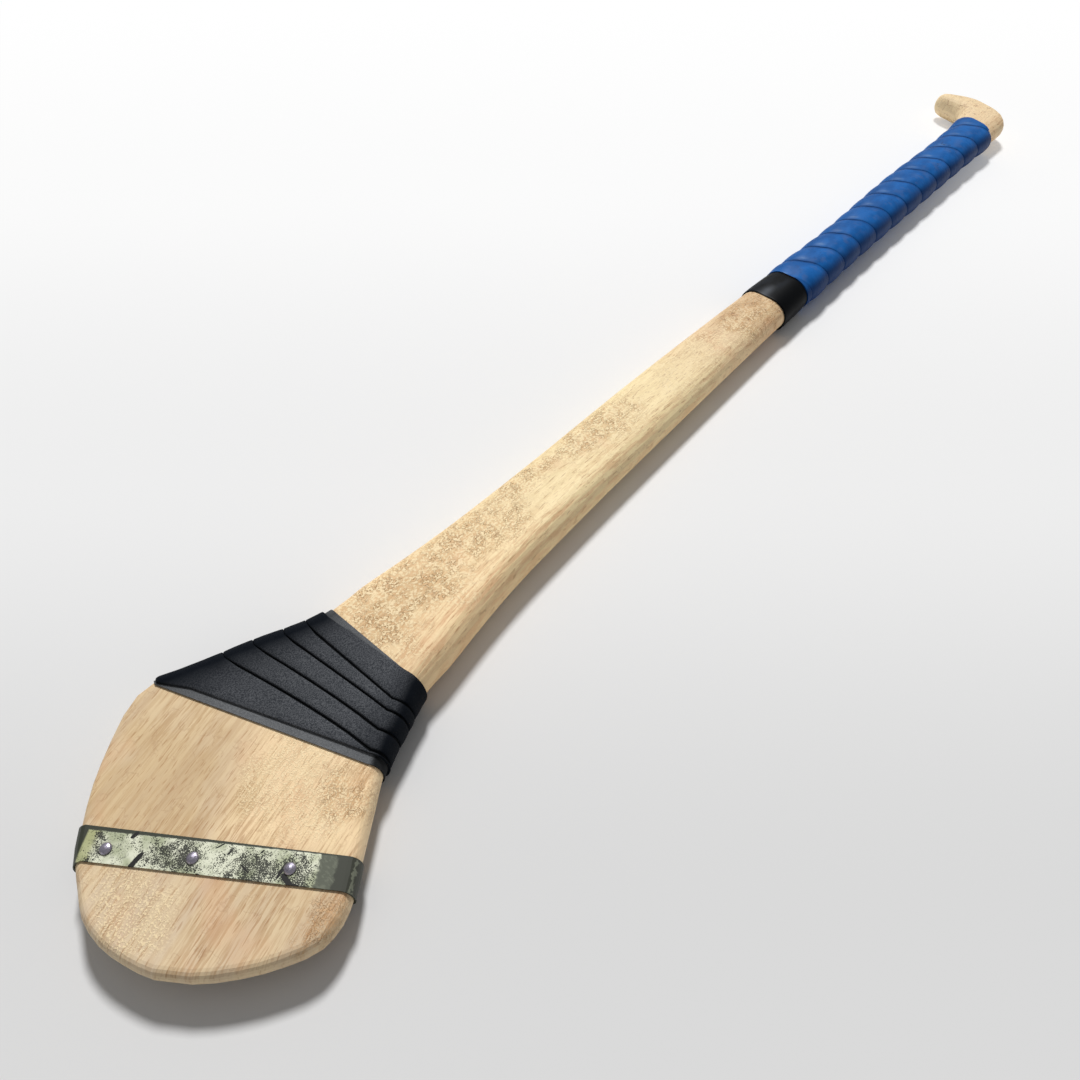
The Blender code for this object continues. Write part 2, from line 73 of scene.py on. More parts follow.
def from_screen(red: int, green: int, blue: int) -> Colour:
    """Turn a colour as a screen shows it into the linear colour that a shader takes.

    Args:
        red: Red from 0 to 255.
        green: Green from 0 to 255.
        blue: Blue from 0 to 255.

    Returns:
        The linear colour with full opacity.
    """
    shares = [part / 255 for part in (red, green, blue)]
    linear = [x / 12.92 if x <= 0.04045 else ((x + 0.055) / 1.055) ** 2.4 for x in shares]
    return (*linear, 1.0)


def mix(first: float, second: float, share: float) -> float:
    """Return the value that lies a share of the way from first to second."""
    return first + (second - first) * share


def limit(value: float) -> float:
    """Keep a value between 0 and 1."""
    return min(max(value, 0.0), 1.0)


def smooth_step(value: float, low: float, high: float) -> float:
    """Rise smoothly from 0 at low to 1 at high."""
    share = limit((value - low) / (high - low))
    return share * share * (3 - 2 * share)


def ramp(value: float, low: float, high: float, most: float) -> float:
    """Rise smoothly from 0 at low to the most at high, which may be the smaller of the two."""
    return most * smooth_step(value, low, high)


def bell(value: float, middle: float, width: float) -> float:
    """Return 1 at the middle, falling away on both sides over a width."""
    return math.exp(-(((value - middle) / width) ** 2))


def stations(first: float, last: float) -> list[float]:
    """Return the stations round the stick from the first up to the last, in equal steps."""
    count = int((last - first) * STATIONS_PER_NUMBER)
    return [first + step / STATIONS_PER_NUMBER for step in range(count + 1)]


def ring_of(station: float) -> float:
    """Return a station's place from the heel edge, 0, to the toe edge, 12, on either face."""
    number = station % RING
    return min(number, RING - number)


def flat_share(ring: float) -> float:
    """Return how far a place lies across the flat, from its heel corner to its toe corner."""
    return limit((ring - HEEL_CORNER) / (TOE_CORNER - HEEL_CORNER))


# The stick's surface


class Rib(NamedTuple):
    """A line across the stick in plan, from its heel edge to its toe edge."""

    heel: Vector
    toe: Vector
    rounding: float


@dataclass
class StickShape:
    """The ash stick's surface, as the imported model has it, at any place along and around.

    A place counts ribs from the toe tip. Around counts from 0 at the heel edge, over the
    front to 12 at the toe edge, and back under the stick to 24. On either face the heel edge
    is rounded up to 5, and the toe edge from 7 on.
    """

    origin: Point = (-0.4445627, 0.0126645, 0.01155)
    length: float = 0.889
    plank_thickness: float = 0.0205
    handle_thickness: float = 0.0186
    blade_bend: float = math.radians(33.4)
    taper_start: float = 0.118
    taper_slope: float = 0.048
    edge_rounding: float = 0.0032
    shoulder_x: float = 0.150
    thin_shaft_x: float = 0.300
    knob_neck: float = 0.062
    knob_full: float = 0.030
    knob_tip_start: float = 0.018
    knob_tip_slope: float = 0.07
    wrap_ribs: tuple[int, int] = (8, 11)
    shaft_samples: int = 900

    def __post_init__(self) -> None:
        """Lay out the ribs and measure the outline."""
        self.ribs = self.make_ribs()
        self.outline = [rib.heel for rib in self.ribs] + [rib.toe for rib in reversed(self.ribs)]
        self.runs = [0.0]
        for start, end in zip(self.outline, self.outline[1:] + self.outline[:1]):
            self.runs.append(self.runs[-1] + (end - start).length)
        last = len(self.ribs) - 1
        self.shaft_places = np.linspace(self.wrap_ribs[1], last, self.shaft_samples)
        self.shaft_xs = [self.local_point(place, 6.0, 0.0).x for place in self.shaft_places]

    def make_ribs(self) -> list[Rib]:
        """Make the ribs.

        Returns:
            The ribs from the toe tip to the butt.
        """
        blade = (
            ((0.0390, 0.0183), (0.0510, 0.0183)),
            ((0.0285, 0.0155), (0.0650, 0.0154)),
            ((0.0180, 0.0110), (0.0785, 0.0102)),
            ((0.0095, 0.0043), (0.0880, 0.0042)),
            ((0.0042, -0.0035), (0.0924, -0.0035)),
            ((-0.0001, -0.0106), (0.0937, -0.0112)),
            ((-0.0041, -0.0228), (0.0934, -0.0226)),
            ((-0.0083, -0.0460), (0.0931, -0.0420)),
        )
        shoulder = (
            ((0.0664, 0.0472), (0.0968, -0.0475), 0.0045),
            ((0.0750, 0.0431), (0.1024, -0.0442), 0.0048),
            ((0.0998, 0.0333), (0.1157, -0.0392), 0.0055),
            ((0.1318, 0.0211), (0.1312, -0.0338), 0.0065),
        )
        shaft = (
            (0.148, 0.0212, 0.0322, 0.0070),
            (0.165, 0.0199, 0.0295, 0.0075),
            (0.195, 0.0182, 0.0257, 0.0080),
            (0.240, 0.0175, 0.0230, 0.0085),
            (0.330, 0.0182, 0.0198, 0.0100),
            (0.465, 0.0161, 0.0161, 0.0120),
            (0.560, 0.0128, 0.0143, 0.0116),
            (0.680, 0.0147, 0.0155, 0.0120),
            (self.length - 0.100, 0.0134, 0.0174, 0.0125),
            (self.length - self.knob_neck, 0.0150, 0.0190, 0.0125),
            (self.length - 0.048, 0.0175, 0.0194, 0.0115),
            (self.length - 0.035, 0.0212, 0.0188, 0.0105),
        )
        knob = (
            ((0.0285, 0.0264), (0.0266, -0.0150), 0.0090),
            ((0.0226, 0.0358), (0.0192, -0.0078), 0.0075),
            ((0.0190, 0.0436), (0.0156, -0.0026), 0.0066),
            ((0.0145, 0.0487), (0.0124, 0.0028), 0.0062),
            ((0.0088, 0.0506), (0.0078, 0.0100), 0.0060),
            ((0.0034, 0.0488), (0.0032, 0.0195), 0.0060),
            ((0.0006, 0.0432), (0.0006, 0.0310), 0.0060),
        )
        point, rounding = self.blade_point, self.edge_rounding
        ribs = [Rib(point(*heel), point(*toe), rounding) for heel, toe in blade]
        ribs += [Rib(Vector(heel), Vector(toe), radius) for heel, toe, radius in shoulder]
        ribs += [Rib(Vector((x, up)), Vector((x, -down)), radius) for x, up, down, radius in shaft]
        for heel, toe, radius in knob:
            ends = [Vector((self.length - back, side)) for back, side in (heel, toe)]
            ribs.append(Rib(*ends, radius))
        return ribs

    def blade_point(self, across: float, along: float) -> Vector:
        """Return the plan point that lies across and along the bent blade's own axes."""
        sine, cosine = math.sin(self.blade_bend), math.cos(self.blade_bend)
        return Vector((across * sine - along * cosine, -across * cosine - along * sine))

    def outline_tangent(self, index: int) -> Vector:
        """Find the outline's slope at one of its points, from its two neighbours.

        Args:
            index: The point's number.

        Returns:
            The slope for each metre of run.
        """
        count = len(self.outline)
        here = self.outline[index % count]
        before = here - self.outline[(index - 1) % count]
        after = self.outline[(index + 1) % count] - here
        total = before.length + after.length
        slopes = before / before.length * after.length + after / after.length * before.length
        return slopes / total

    def outline_at(self, run: float) -> tuple[Vector, Vector]:
        """Follow the outline's smooth curve.

        Args:
            run: The distance along the outline.

        Returns:
            The plan point and the unit inward normal there.
        """
        run %= self.runs[-1]
        index = min(bisect_right(self.runs, run) - 1, len(self.outline) - 1)
        start, end = self.outline[index], self.outline[(index + 1) % len(self.outline)]
        span = self.runs[index + 1] - self.runs[index]
        t = (run - self.runs[index]) / span
        slope_in = self.outline_tangent(index) * span
        slope_out = self.outline_tangent(index + 1) * span
        point = start * (2 * t**3 - 3 * t**2 + 1) + slope_in * (t**3 - 2 * t**2 + t)
        point += end * (3 * t**2 - 2 * t**3) + slope_out * (t**3 - t**2)
        along = start * (6 * t**2 - 6 * t) + slope_in * (3 * t**2 - 4 * t + 1)
        along += end * (6 * t - 6 * t**2) + slope_out * (3 * t**2 - 2 * t)
        along.normalize()
        return point, Vector((along.y, -along.x))

    def half_thickness(self, point: Vector) -> float:
        """Find the wood's half thickness.

        Args:
            point: A plan point.

        Returns:
            The half thickness there.
        """
        knob = (self.length - self.knob_neck, self.length - self.knob_full)
        knob_share = smooth_step(point.x, *knob)
        thin = smooth_step(point.x, self.shoulder_x, self.thin_shaft_x) * (1 - knob_share)
        thickness = mix(self.plank_thickness, self.handle_thickness, thin)
        along = point.dot(self.blade_point(0.0, 1.0))
        blade_loss = self.taper_slope * max(along + self.taper_start, 0.0)
        knob_loss = self.knob_tip_slope * max(point.y - self.knob_tip_start, 0.0) * knob_share
        return thickness / 2 - blade_loss - knob_loss

    def rib_values(self, place: float) -> tuple[tuple, tuple, float]:
        """Find the stick's edges at a rib place.

        Args:
            place: The place in ribs from the toe tip.

        Returns:
            The heel edge's point and inward normal, the toe edge's, and the rounding.
        """
        place = min(max(place, 0.0), len(self.ribs) - 1.0)
        index = min(int(place), len(self.ribs) - 2)
        share, last = place - index, len(self.outline) - 1
        heel_run = mix(self.runs[index], self.runs[index + 1], share)
        toe_run = mix(self.runs[last - index], self.runs[last - index - 1], share)
        rounding = mix(self.ribs[index].rounding, self.ribs[index + 1].rounding, share)
        return self.outline_at(heel_run), self.outline_at(toe_run), rounding

    def local_point(self, place: float, around: float, lift: float) -> Vector:
        """Find a point over the wood in the stick's own frame.

        Args:
            place: The place in ribs from the toe tip.
            around: The place round the stick.
            lift: How far the point stands square off the wood.

        Returns:
            The point.
        """
        heel, toe, rounding = self.rib_values(place)
        side = 1.0 if around % RING <= TOE_EDGE else -1.0
        ring = ring_of(around)
        if HEEL_CORNER < ring < TOE_CORNER:
            inner_heel = heel[0] + heel[1] * rounding
            inner_toe = toe[0] + toe[1] * rounding
            plan = inner_heel.lerp(inner_toe, flat_share(ring))
            return Vector((plan.x, plan.y, side * (self.half_thickness(plan) + lift)))
        near_heel = ring <= HEEL_CORNER
        edge, inward = heel if near_heel else toe
        angle = math.radians(90) * (ring if near_heel else TOE_EDGE - ring) / HEEL_CORNER
        plan = edge + inward * (rounding * (1 - math.cos(angle)))
        height = self.half_thickness(plan)
        normal = Vector((math.cos(angle) / rounding, math.sin(angle) / height)).normalized()
        plan = plan - inward * (normal.x * lift)
        return Vector((plan.x, plan.y, side * (height * math.sin(angle) + normal.y * lift)))

    def point(self, place: float, around: float, lift: float) -> Point:
        """Return a point over the wood in the row frame, never below the table."""
        x, y, z = self.local_point(place, around, lift) + Vector(self.origin)
        return (x, y, max(z, 0.0))

    def shaft_point(self, x: float, around: float, lift: float) -> Point:
        """Return a point over the shaft where its middle stands at x."""
        return self.point(self.place_at(x), around, lift)

    def place_at(self, x: float) -> float:
        """Return the rib place where the shaft's middle stands at x."""
        return float(np.interp(x, self.shaft_xs, self.shaft_places))

    def slanted(self, x: float, around: float, slant: float) -> float:
        """Return how far along a slanted line across the shaft lies at a ring point."""
        return x + slant * self.local_point(self.place_at(x), around, 0.0).y

    def wrap_place(self, share: float) -> float:
        """Find a place down the shoulder wrap.

        Args:
            share: The share of the way down the wrap.

        Returns:
            The place in ribs.
        """
        low, high = self.wrap_ribs
        run = mix(self.runs[high], self.runs[low], share)
        index = min(max(bisect_right(self.runs, run) - 1, low), high - 1)
        return index + (run - self.runs[index]) / (self.runs[index + 1] - self.runs[index])


# Meshes


class Ends(Enum):
    """How a skin of rows of points is finished."""

    CAPPED = "capped"
    JOINED = "joined"


def skin(
    name: str, sections: Iterable[Section], ends: Ends, sharp_degrees: float = 50.0
) -> bpy.types.Object:
    """Skin closed rows of points, all of one length, into a mesh object.

    Args:
        name: The object's name.
        sections: Each row's points and, under their names, the finish's marks at them.
        ends: Whether the first and last row are capped or joined to each other.
        sharp_degrees: The angle from which an edge stays sharp.

    Returns:
        The new object.
    """
    rows, marks = zip(*sections)
    count, size = len(rows), len(rows[0])
    faces = []
    for first in range(count if ends is Ends.JOINED else count - 1):
        low, high = first * size, (first + 1) % count * size
        for near in range(size):
            far = (near + 1) % size
            faces.append((low + near, high + near, high + far, low + far))
    if ends is Ends.CAPPED:
        for start in (0, (count - 1) * size):
            for near in range(size // 2 - 1):
                far = size - 1 - near
                faces.append((start + near, start + near + 1, start + far - 1, start + far))
    mesh = bpy.data.meshes.new(name)
    mesh.from_pydata([point for row in rows for point in row], [], faces)
    for mark in marks[0]:
        layer = mesh.attributes.new(mark, "FLOAT", "POINT")
        layer.data.foreach_set("value", [value for values in marks for value in values[mark]])
    piece = bpy.data.objects.new(name, mesh)
    bpy.context.scene.collection.objects.link(piece)
    bpy.context.view_layer.objects.active = piece
    piece.select_set(True)
    bpy.ops.object.mode_set(mode="EDIT")
    bpy.ops.mesh.select_all(action="SELECT")
    bpy.ops.mesh.normals_make_consistent(inside=False)
    bpy.ops.object.mode_set(mode="OBJECT")
    piece.select_set(False)
    mesh.shade_smooth()
    mesh.set_sharp_from_angle(angle=math.radians(sharp_degrees))
    return piece


# Shader nodes


class Value:
    """What a node puts out. Plain arithmetic works on it where it is a number or a place."""

    def __init__(self, sheet: "Sheet", socket: bpy.types.NodeSocket) -> None:
        """Take the sheet and the socket that puts the value out."""
        self.sheet, self.socket = sheet, socket

    def __add__(self, other: Any) -> "Value":
        """Add."""
        return self.sheet.calc("ADD", self, other)

    def __sub__(self, other: Any) -> "Value":
        """Subtract."""
        return self.sheet.calc("SUBTRACT", self, other)

    def __rsub__(self, other: Any) -> "Value":
        """Subtract from a number."""
        return self.sheet.calc("SUBTRACT", other, self)

    def __mul__(self, other: Any) -> "Value":
        """Multiply. A place takes one factor for each axis."""
        return self.sheet.calc("MULTIPLY", self, other)

    def __truediv__(self, other: Any) -> "Value":
        """Divide."""
        return self.sheet.calc("DIVIDE", self, other)

    def __abs__(self) -> "Value":
        """Drop the sign."""
        return self.sheet.calc("ABSOLUTE", self)

    def fade(self, low: float, high: float) -> "Value":
        """Return a smooth rise from 0 at low to 1 at high."""
        inputs = {"Value": self, "From Min": low, "From Max": high}
        return self.sheet.add("MapRange", inputs, interpolation_type="SMOOTHSTEP", clamp=True)

    def toward(self, colour: Any, share: "Value") -> "Value":
        """Return this colour blended towards another by a share."""
        return self.sheet.blend(share, self, colour)


Values = dict[str, Value]


class Sheet:
    """Places and links the nodes of one node tree."""

    def __init__(self, tree: bpy.types.NodeTree) -> None:
        """Take the tree that the nodes go into."""
        self.tree = tree

    def feed(self, socket: bpy.types.NodeSocket, value: Any) -> None:
        """Link a socket to a value, or set it to a constant.

        Args:
            socket: The socket to feed.
            value: The value or the constant.
        """
        if isinstance(value, Value):
            self.tree.links.new(value.socket, socket)
        else:
            socket.default_value = value

    def add(
        self, kind: str, inputs: dict | None = None, output: int | str = 0, **settings: Any
    ) -> Value:
        """Place a node.

        Args:
            kind: The node's type without its prefix.
            inputs: Values or constants for its inputs, by name or number.
            output: The output to take, by name or number.
            settings: Settings of the node itself.

        Returns:
            The output's value.
        """
        node = self.tree.nodes.new(f"ShaderNode{kind}")
        for key, value in settings.items():
            setattr(node, key, value)
        for key, value in (inputs or {}).items():
            self.feed(node.inputs[key], value)
        return Value(self, node.outputs[output])

    def calc(self, operation: str, *values: Any, clamp: bool = False) -> Value:
        """Work out one result, from numbers or from places.

        Args:
            operation: The operation of the Math node or the Vector Math node.
            values: What it works on. It works on places where the first one is a place.
            clamp: Whether a number stays between 0 and 1.

        Returns:
            The result.
        """
        inputs, first = dict(enumerate(values)), values[0]
        if isinstance(first, Value) and first.socket.type == "VECTOR":
            output = 1 if operation in ("DOT_PRODUCT", "LENGTH") else 0
            return self.add("VectorMath", inputs, output, operation=operation)
        return self.add("Math", inputs, operation=operation, use_clamp=clamp)

    def blend(self, share: Any, first: Any, second: Any) -> Value:
        """Return two colours blended by a share."""
        inputs = {0: share, 6: first, 7: second}
        return self.add("Mix", inputs, 2, data_type="RGBA", clamp_factor=True)

    def noise(self, place: Value, scale: Any, detail: float) -> Value:
        """Return a noise value over a place."""
        return self.add("TexNoise", {"Vector": place, "Scale": scale, "Detail": detail}, "Fac")

    def mark(self, name: str) -> Value:
        """Return a value that the mesh carries under a name."""
        return self.add("Attribute", output="Fac", attribute_name=name)

    def here(self) -> Value:
        """Return the object's own coordinates."""
        return self.add("TexCoord", output="Object")

    def split(self, place: Value) -> list[Value]:
        """Return a place's three coordinates."""
        outputs = self.add("SeparateXYZ", {0: place}).socket.node.outputs
        return [Value(self, socket) for socket in outputs]

    def join(self, *coordinates: Value) -> Value:
        """Return the place with some coordinates."""
        return self.add("CombineXYZ", dict(enumerate(coordinates)))

    def union(self, *masks: Value) -> Value:
        """Find the largest of some masks.

        Args:
            masks: The masks.

        Returns:
            The largest at each place.
        """
        largest = masks[0]
        for mask in masks[1:]:
            largest = self.calc("MAXIMUM", largest, mask)
        return largest

    def effect(self, make: Callable[[], bpy.types.NodeTree], **inputs: Any) -> Values:
        """Place a shared effect.

        Args:
            make: The effect.
            inputs: Its inputs, with underscores for the spaces in their names.

        Returns:
            Its outputs by name.
        """
        node = self.tree.nodes.new("ShaderNodeGroup")
        node.node_tree = make()
        for key, value in inputs.items():
            self.feed(node.inputs[key.replace("_", " ")], value)
        return {socket.name: Value(self, socket) for socket in node.outputs}

    def patches(self, place: Value, spots: tuple, ragged_scale: float) -> Value:
        """Lay some ragged patches.

        Args:
            place: The place in the plane that the patches lie in.
            spots: Each patch's centre and half size, two numbers each.
            ragged_scale: How fine the patches' ragged edges are.

        Returns:
            Their mask.
        """
        masks = []
        for x, y, half_length, half_width in spots:
            spot = {"Centre": (x, y, 0.0), "Half_Size": (half_length, half_width, 1.0)}
            masks.append(self.effect(patch, Place=place, Ragged_Scale=ragged_scale, **spot)["Mask"])
        return self.union(*masks)


def shared_effect(outputs: Sequence[str], **inputs: Any) -> Callable:
    """Make a function that lays nodes into a shader node group, built at its first use.

    Args:
        outputs: The names of the values that the group puts out.
        inputs: Its inputs' starting values, with underscores for the spaces in their names.
            A tuple makes a vector input.

    Returns:
        The decorator of the function that lays the nodes. It takes the group's sheet and its
        inputs, and returns the value of each output.
    """

    def decorate(lay: Callable[[Sheet, Values], Values]) -> Callable[[], bpy.types.NodeTree]:
        """Turn the function that lays the nodes into one that makes the group.

        Args:
            lay: The function, which the group takes its name from.

        Returns:
            The function that makes the group.
        """

        @lru_cache(maxsize=None)
        def make() -> bpy.types.NodeTree:
            """Build the group.

            Returns:
                Its node tree.
            """
            tree = bpy.data.node_groups.new(lay.__name__, "ShaderNodeTree")
            sockets = [(key.replace("_", " "), "INPUT", value) for key, value in inputs.items()]
            sockets += [(key, "OUTPUT", () if key.endswith("Place") else 0.0) for key in outputs]
            for key, way, value in sockets:
                kind = "NodeSocketVector" if isinstance(value, tuple) else "NodeSocketFloat"
                socket = tree.interface.new_socket(key, in_out=way, socket_type=kind)
                if way == "INPUT":
                    socket.default_value = value
            sheet = Sheet(tree)
            source, sink = tree.nodes.new("NodeGroupInput"), tree.nodes.new("NodeGroupOutput")
            given = {socket.name: Value(sheet, socket) for socket in source.outputs}
            for key, value in lay(sheet, given).items():
                sheet.feed(sink.inputs[key], value)
            return tree

        return make

    return decorate


@shared_effect(
    ("Mask",),
    Vector=(0.0, 0.0, 0.0),
    Scale=900.0,
    Cluster_Scale=40.0,
    Clustering=0.8,
    Amount=0.4,
    Sharpness=12.0,
)
def speckle(sheet: Sheet, given: Values) -> Values:
    """Strew small specks in clusters.

    Args:
        sheet: The group's sheet.
        given: The group's inputs.

    Returns:
        The mask of the specks.
    """
    specks = sheet.noise(given["Vector"], given["Scale"], 4.0)
    clusters = sheet.noise(given["Vector"], given["Cluster Scale"], 2.0)
    over = specks + (clusters - 0.5) * given["Clustering"] + given["Amount"] - 1.0
    return {"Mask": sheet.calc("MULTIPLY", over, given["Sharpness"], clamp=True)}


@shared_effect(
    ("Grain Place", "Plan Place", "Blade Place", "Shaft", "Side", "Across", "Along"),
    Position=(0.0, 0.0, 0.0),
)
def stick_axes(sheet: Sheet, given: Values) -> Values:
    """Follow the stick: along its grain, which leans into the blade, and across its blade.

    Args:
        sheet: The group's sheet.
        given: The group's inputs.

    Returns:
        The places and the distances along the stick's axes.
    """
    shape, lean_start, lean = StickShape(), 0.280, 0.57
    local = given["Position"] - shape.origin
    x, y, z = sheet.split(local)
    before = sheet.calc("MAXIMUM", lean_start - x, 0.0)
    across, along = (
        sheet.calc("DOT_PRODUCT", local, (*shape.blade_point(*axis), 0.0))
        for axis in ((1.0, 0.0), (0.0, 1.0))
    )
    return {
        "Grain Place": sheet.join(x, y + before * before * lean, z),
        "Plan Place": sheet.join(x, y),
        "Blade Place": sheet.join(across, along),
        "Shaft": x,
        "Side": y,
        "Across": across,
        "Along": along,
    }


@shared_effect(
    ("Mask",),
    Place=(0.0, 0.0, 0.0),
    Centre=(0.0, 0.0, 0.0),
    Half_Size=(0.01, 0.01, 1.0),
    Ragged_Scale=60.0,
)
def patch(sheet: Sheet, given: Values) -> Values:
    """Lay one ragged patch round a centre.

    Args:
        sheet: The group's sheet.
        given: The group's inputs.

    Returns:
        The patch's mask.
    """
    away = (given["Place"] - given["Centre"]) / given["Half Size"]
    ragged = sheet.noise(given["Place"], given["Ragged Scale"], 3.0)
    edge = ragged * 2.0 + (sheet.calc("LENGTH", away) - 1.0)
    return {"Mask": 1.0 - edge.fade(0.55, 1.20)}


@shared_effect(("Streaks", "Bands", "Pores"), Place=(0.0, 0.0, 0.0))
def fibres(sheet: Sheet, given: Values) -> Values:
    """Lay long wood fibres.

    Args:
        sheet: The group's sheet.
        given: The group's inputs.

    Returns:
        The masks of fine streaks, broad bands and dark pores.
    """
    place = given["Place"]
    streaks = sheet.noise(place * (40.0, 560.0, 160.0), 1.0, 4.0)
    fine = sheet.noise(place * (130.0, 1300.0, 300.0), 1.0, 3.0)
    bands = sheet.noise(place * (9.0, 130.0, 30.0), 1.0, 3.0)
    pores = sheet.noise(place * (170.0, 1300.0, 300.0), 1.0, 1.0)
    return {
        "Streaks": (fine * 0.5 + streaks * 0.5).fade(0.44, 0.60),
        "Bands": bands.fade(0.36, 0.66),
        "Pores": pores.fade(0.61, 0.70),
    }


@shared_effect(("Mask",), Place=(0.0, 0.0, 0.0), Scale=130.0)
def hairlines(sheet: Sheet, given: Values) -> Values:
    """Lay thin wandering cracks.

    Args:
        sheet: The group's sheet.
        given: The group's inputs.

    Returns:
        The cracks' mask.
    """
    away = abs(sheet.noise(given["Place"], given["Scale"], 4.0) - 0.5)
    broken = sheet.noise(given["Place"], 170.0, 1.0).fade(0.45, 0.58)
    return {"Mask": (1.0 - away.fade(0.004, 0.022)) * broken}


@shared_effect(
    ("Mask",),
    Place=(0.0, 0.0, 0.0),
    Centre=(0.0, 0.0, 0.0),
    Angle=0.0,
    Half_Length=0.004,
    Half_Width=0.001,
)
def scratch_mark(sheet: Sheet, given: Values) -> Values:
    """Lay one ragged bar at a centre, turned by an angle.

    Args:
        sheet: The group's sheet.
        given: The group's inputs.

    Returns:
        The bar's mask.
    """
    x, y, _ = sheet.split(given["Place"] - given["Centre"])
    cosine, sine = sheet.calc("COSINE", given["Angle"]), sheet.calc("SINE", given["Angle"])
    longwise = (x * cosine + y * sine) / given["Half Length"]
    crosswise = (y * cosine - x * sine) / given["Half Width"]
    reach = crosswise * crosswise + sheet.calc("POWER", abs(longwise), 3.0)
    edge = sheet.noise(given["Place"], 1500.0, 2.0) * 1.2 + (reach - 0.6)
    return {"Mask": 1.0 - edge.fade(0.80, 1.10)}


@shared_effect(("Height", "Fuzz"), Place=(0.0, 0.0, 0.0), Threads=5200.0)
def weave(sheet: Sheet, given: Values) -> Values:
    """Lay a tight cloth: crossing threads with uneven fuzz.

    Args:
        sheet: The group's sheet.
        given: The group's inputs.

    Returns:
        The cloth's height and the mask of its fuzz.
    """
    x, y, z = sheet.split(given["Place"] * given["Threads"])
    threads = [abs(sheet.calc("SINE", wave)) for wave in (x + z, y - z)]
    fuzz = sheet.noise(given["Place"], 2200.0, 3.0)
    height = fuzz * 1.2 + sheet.union(*threads) * 0.5
    return {"Height": height, "Fuzz": fuzz.fade(0.36, 0.66)}


# Finishes


class Look(NamedTuple):
    """What a finish puts on its shader. The height counts in depths, a depth in metres."""

    colour: Value
    roughness: Any
    height: Value | None = None
    depth: float = 0.0


@dataclass(frozen=True)
class Finish:
    """A surface finish that makes one material."""

    name: str
    roughness: float = 0.5
    metallic: float = 0.0
    gloss: float = 0.5

    def lay(self, sheet: Sheet) -> Look:
        """Lay the finish's nodes and return its look."""
        raise NotImplementedError

    def material(self) -> bpy.types.Material:
        """Make the material.

        Returns:
            The new material.
        """
        material = bpy.data.materials.new(self.name)
        material.use_nodes = True
        sheet = Sheet(material.node_tree)
        look = self.lay(sheet)
        values = {
            "Base Color": look.colour,
            "Roughness": look.roughness,
            "Metallic": self.metallic,
            "Specular IOR Level": self.gloss,
        }
        if look.height:
            bump = {"Height": look.height, "Distance": look.depth, "Strength": 1.0}
            values["Normal"] = sheet.add("Bump", bump)
        shader = material.node_tree.nodes["Principled BSDF"]
        for key, value in values.items():
            sheet.feed(shader.inputs[key], value)
        return material


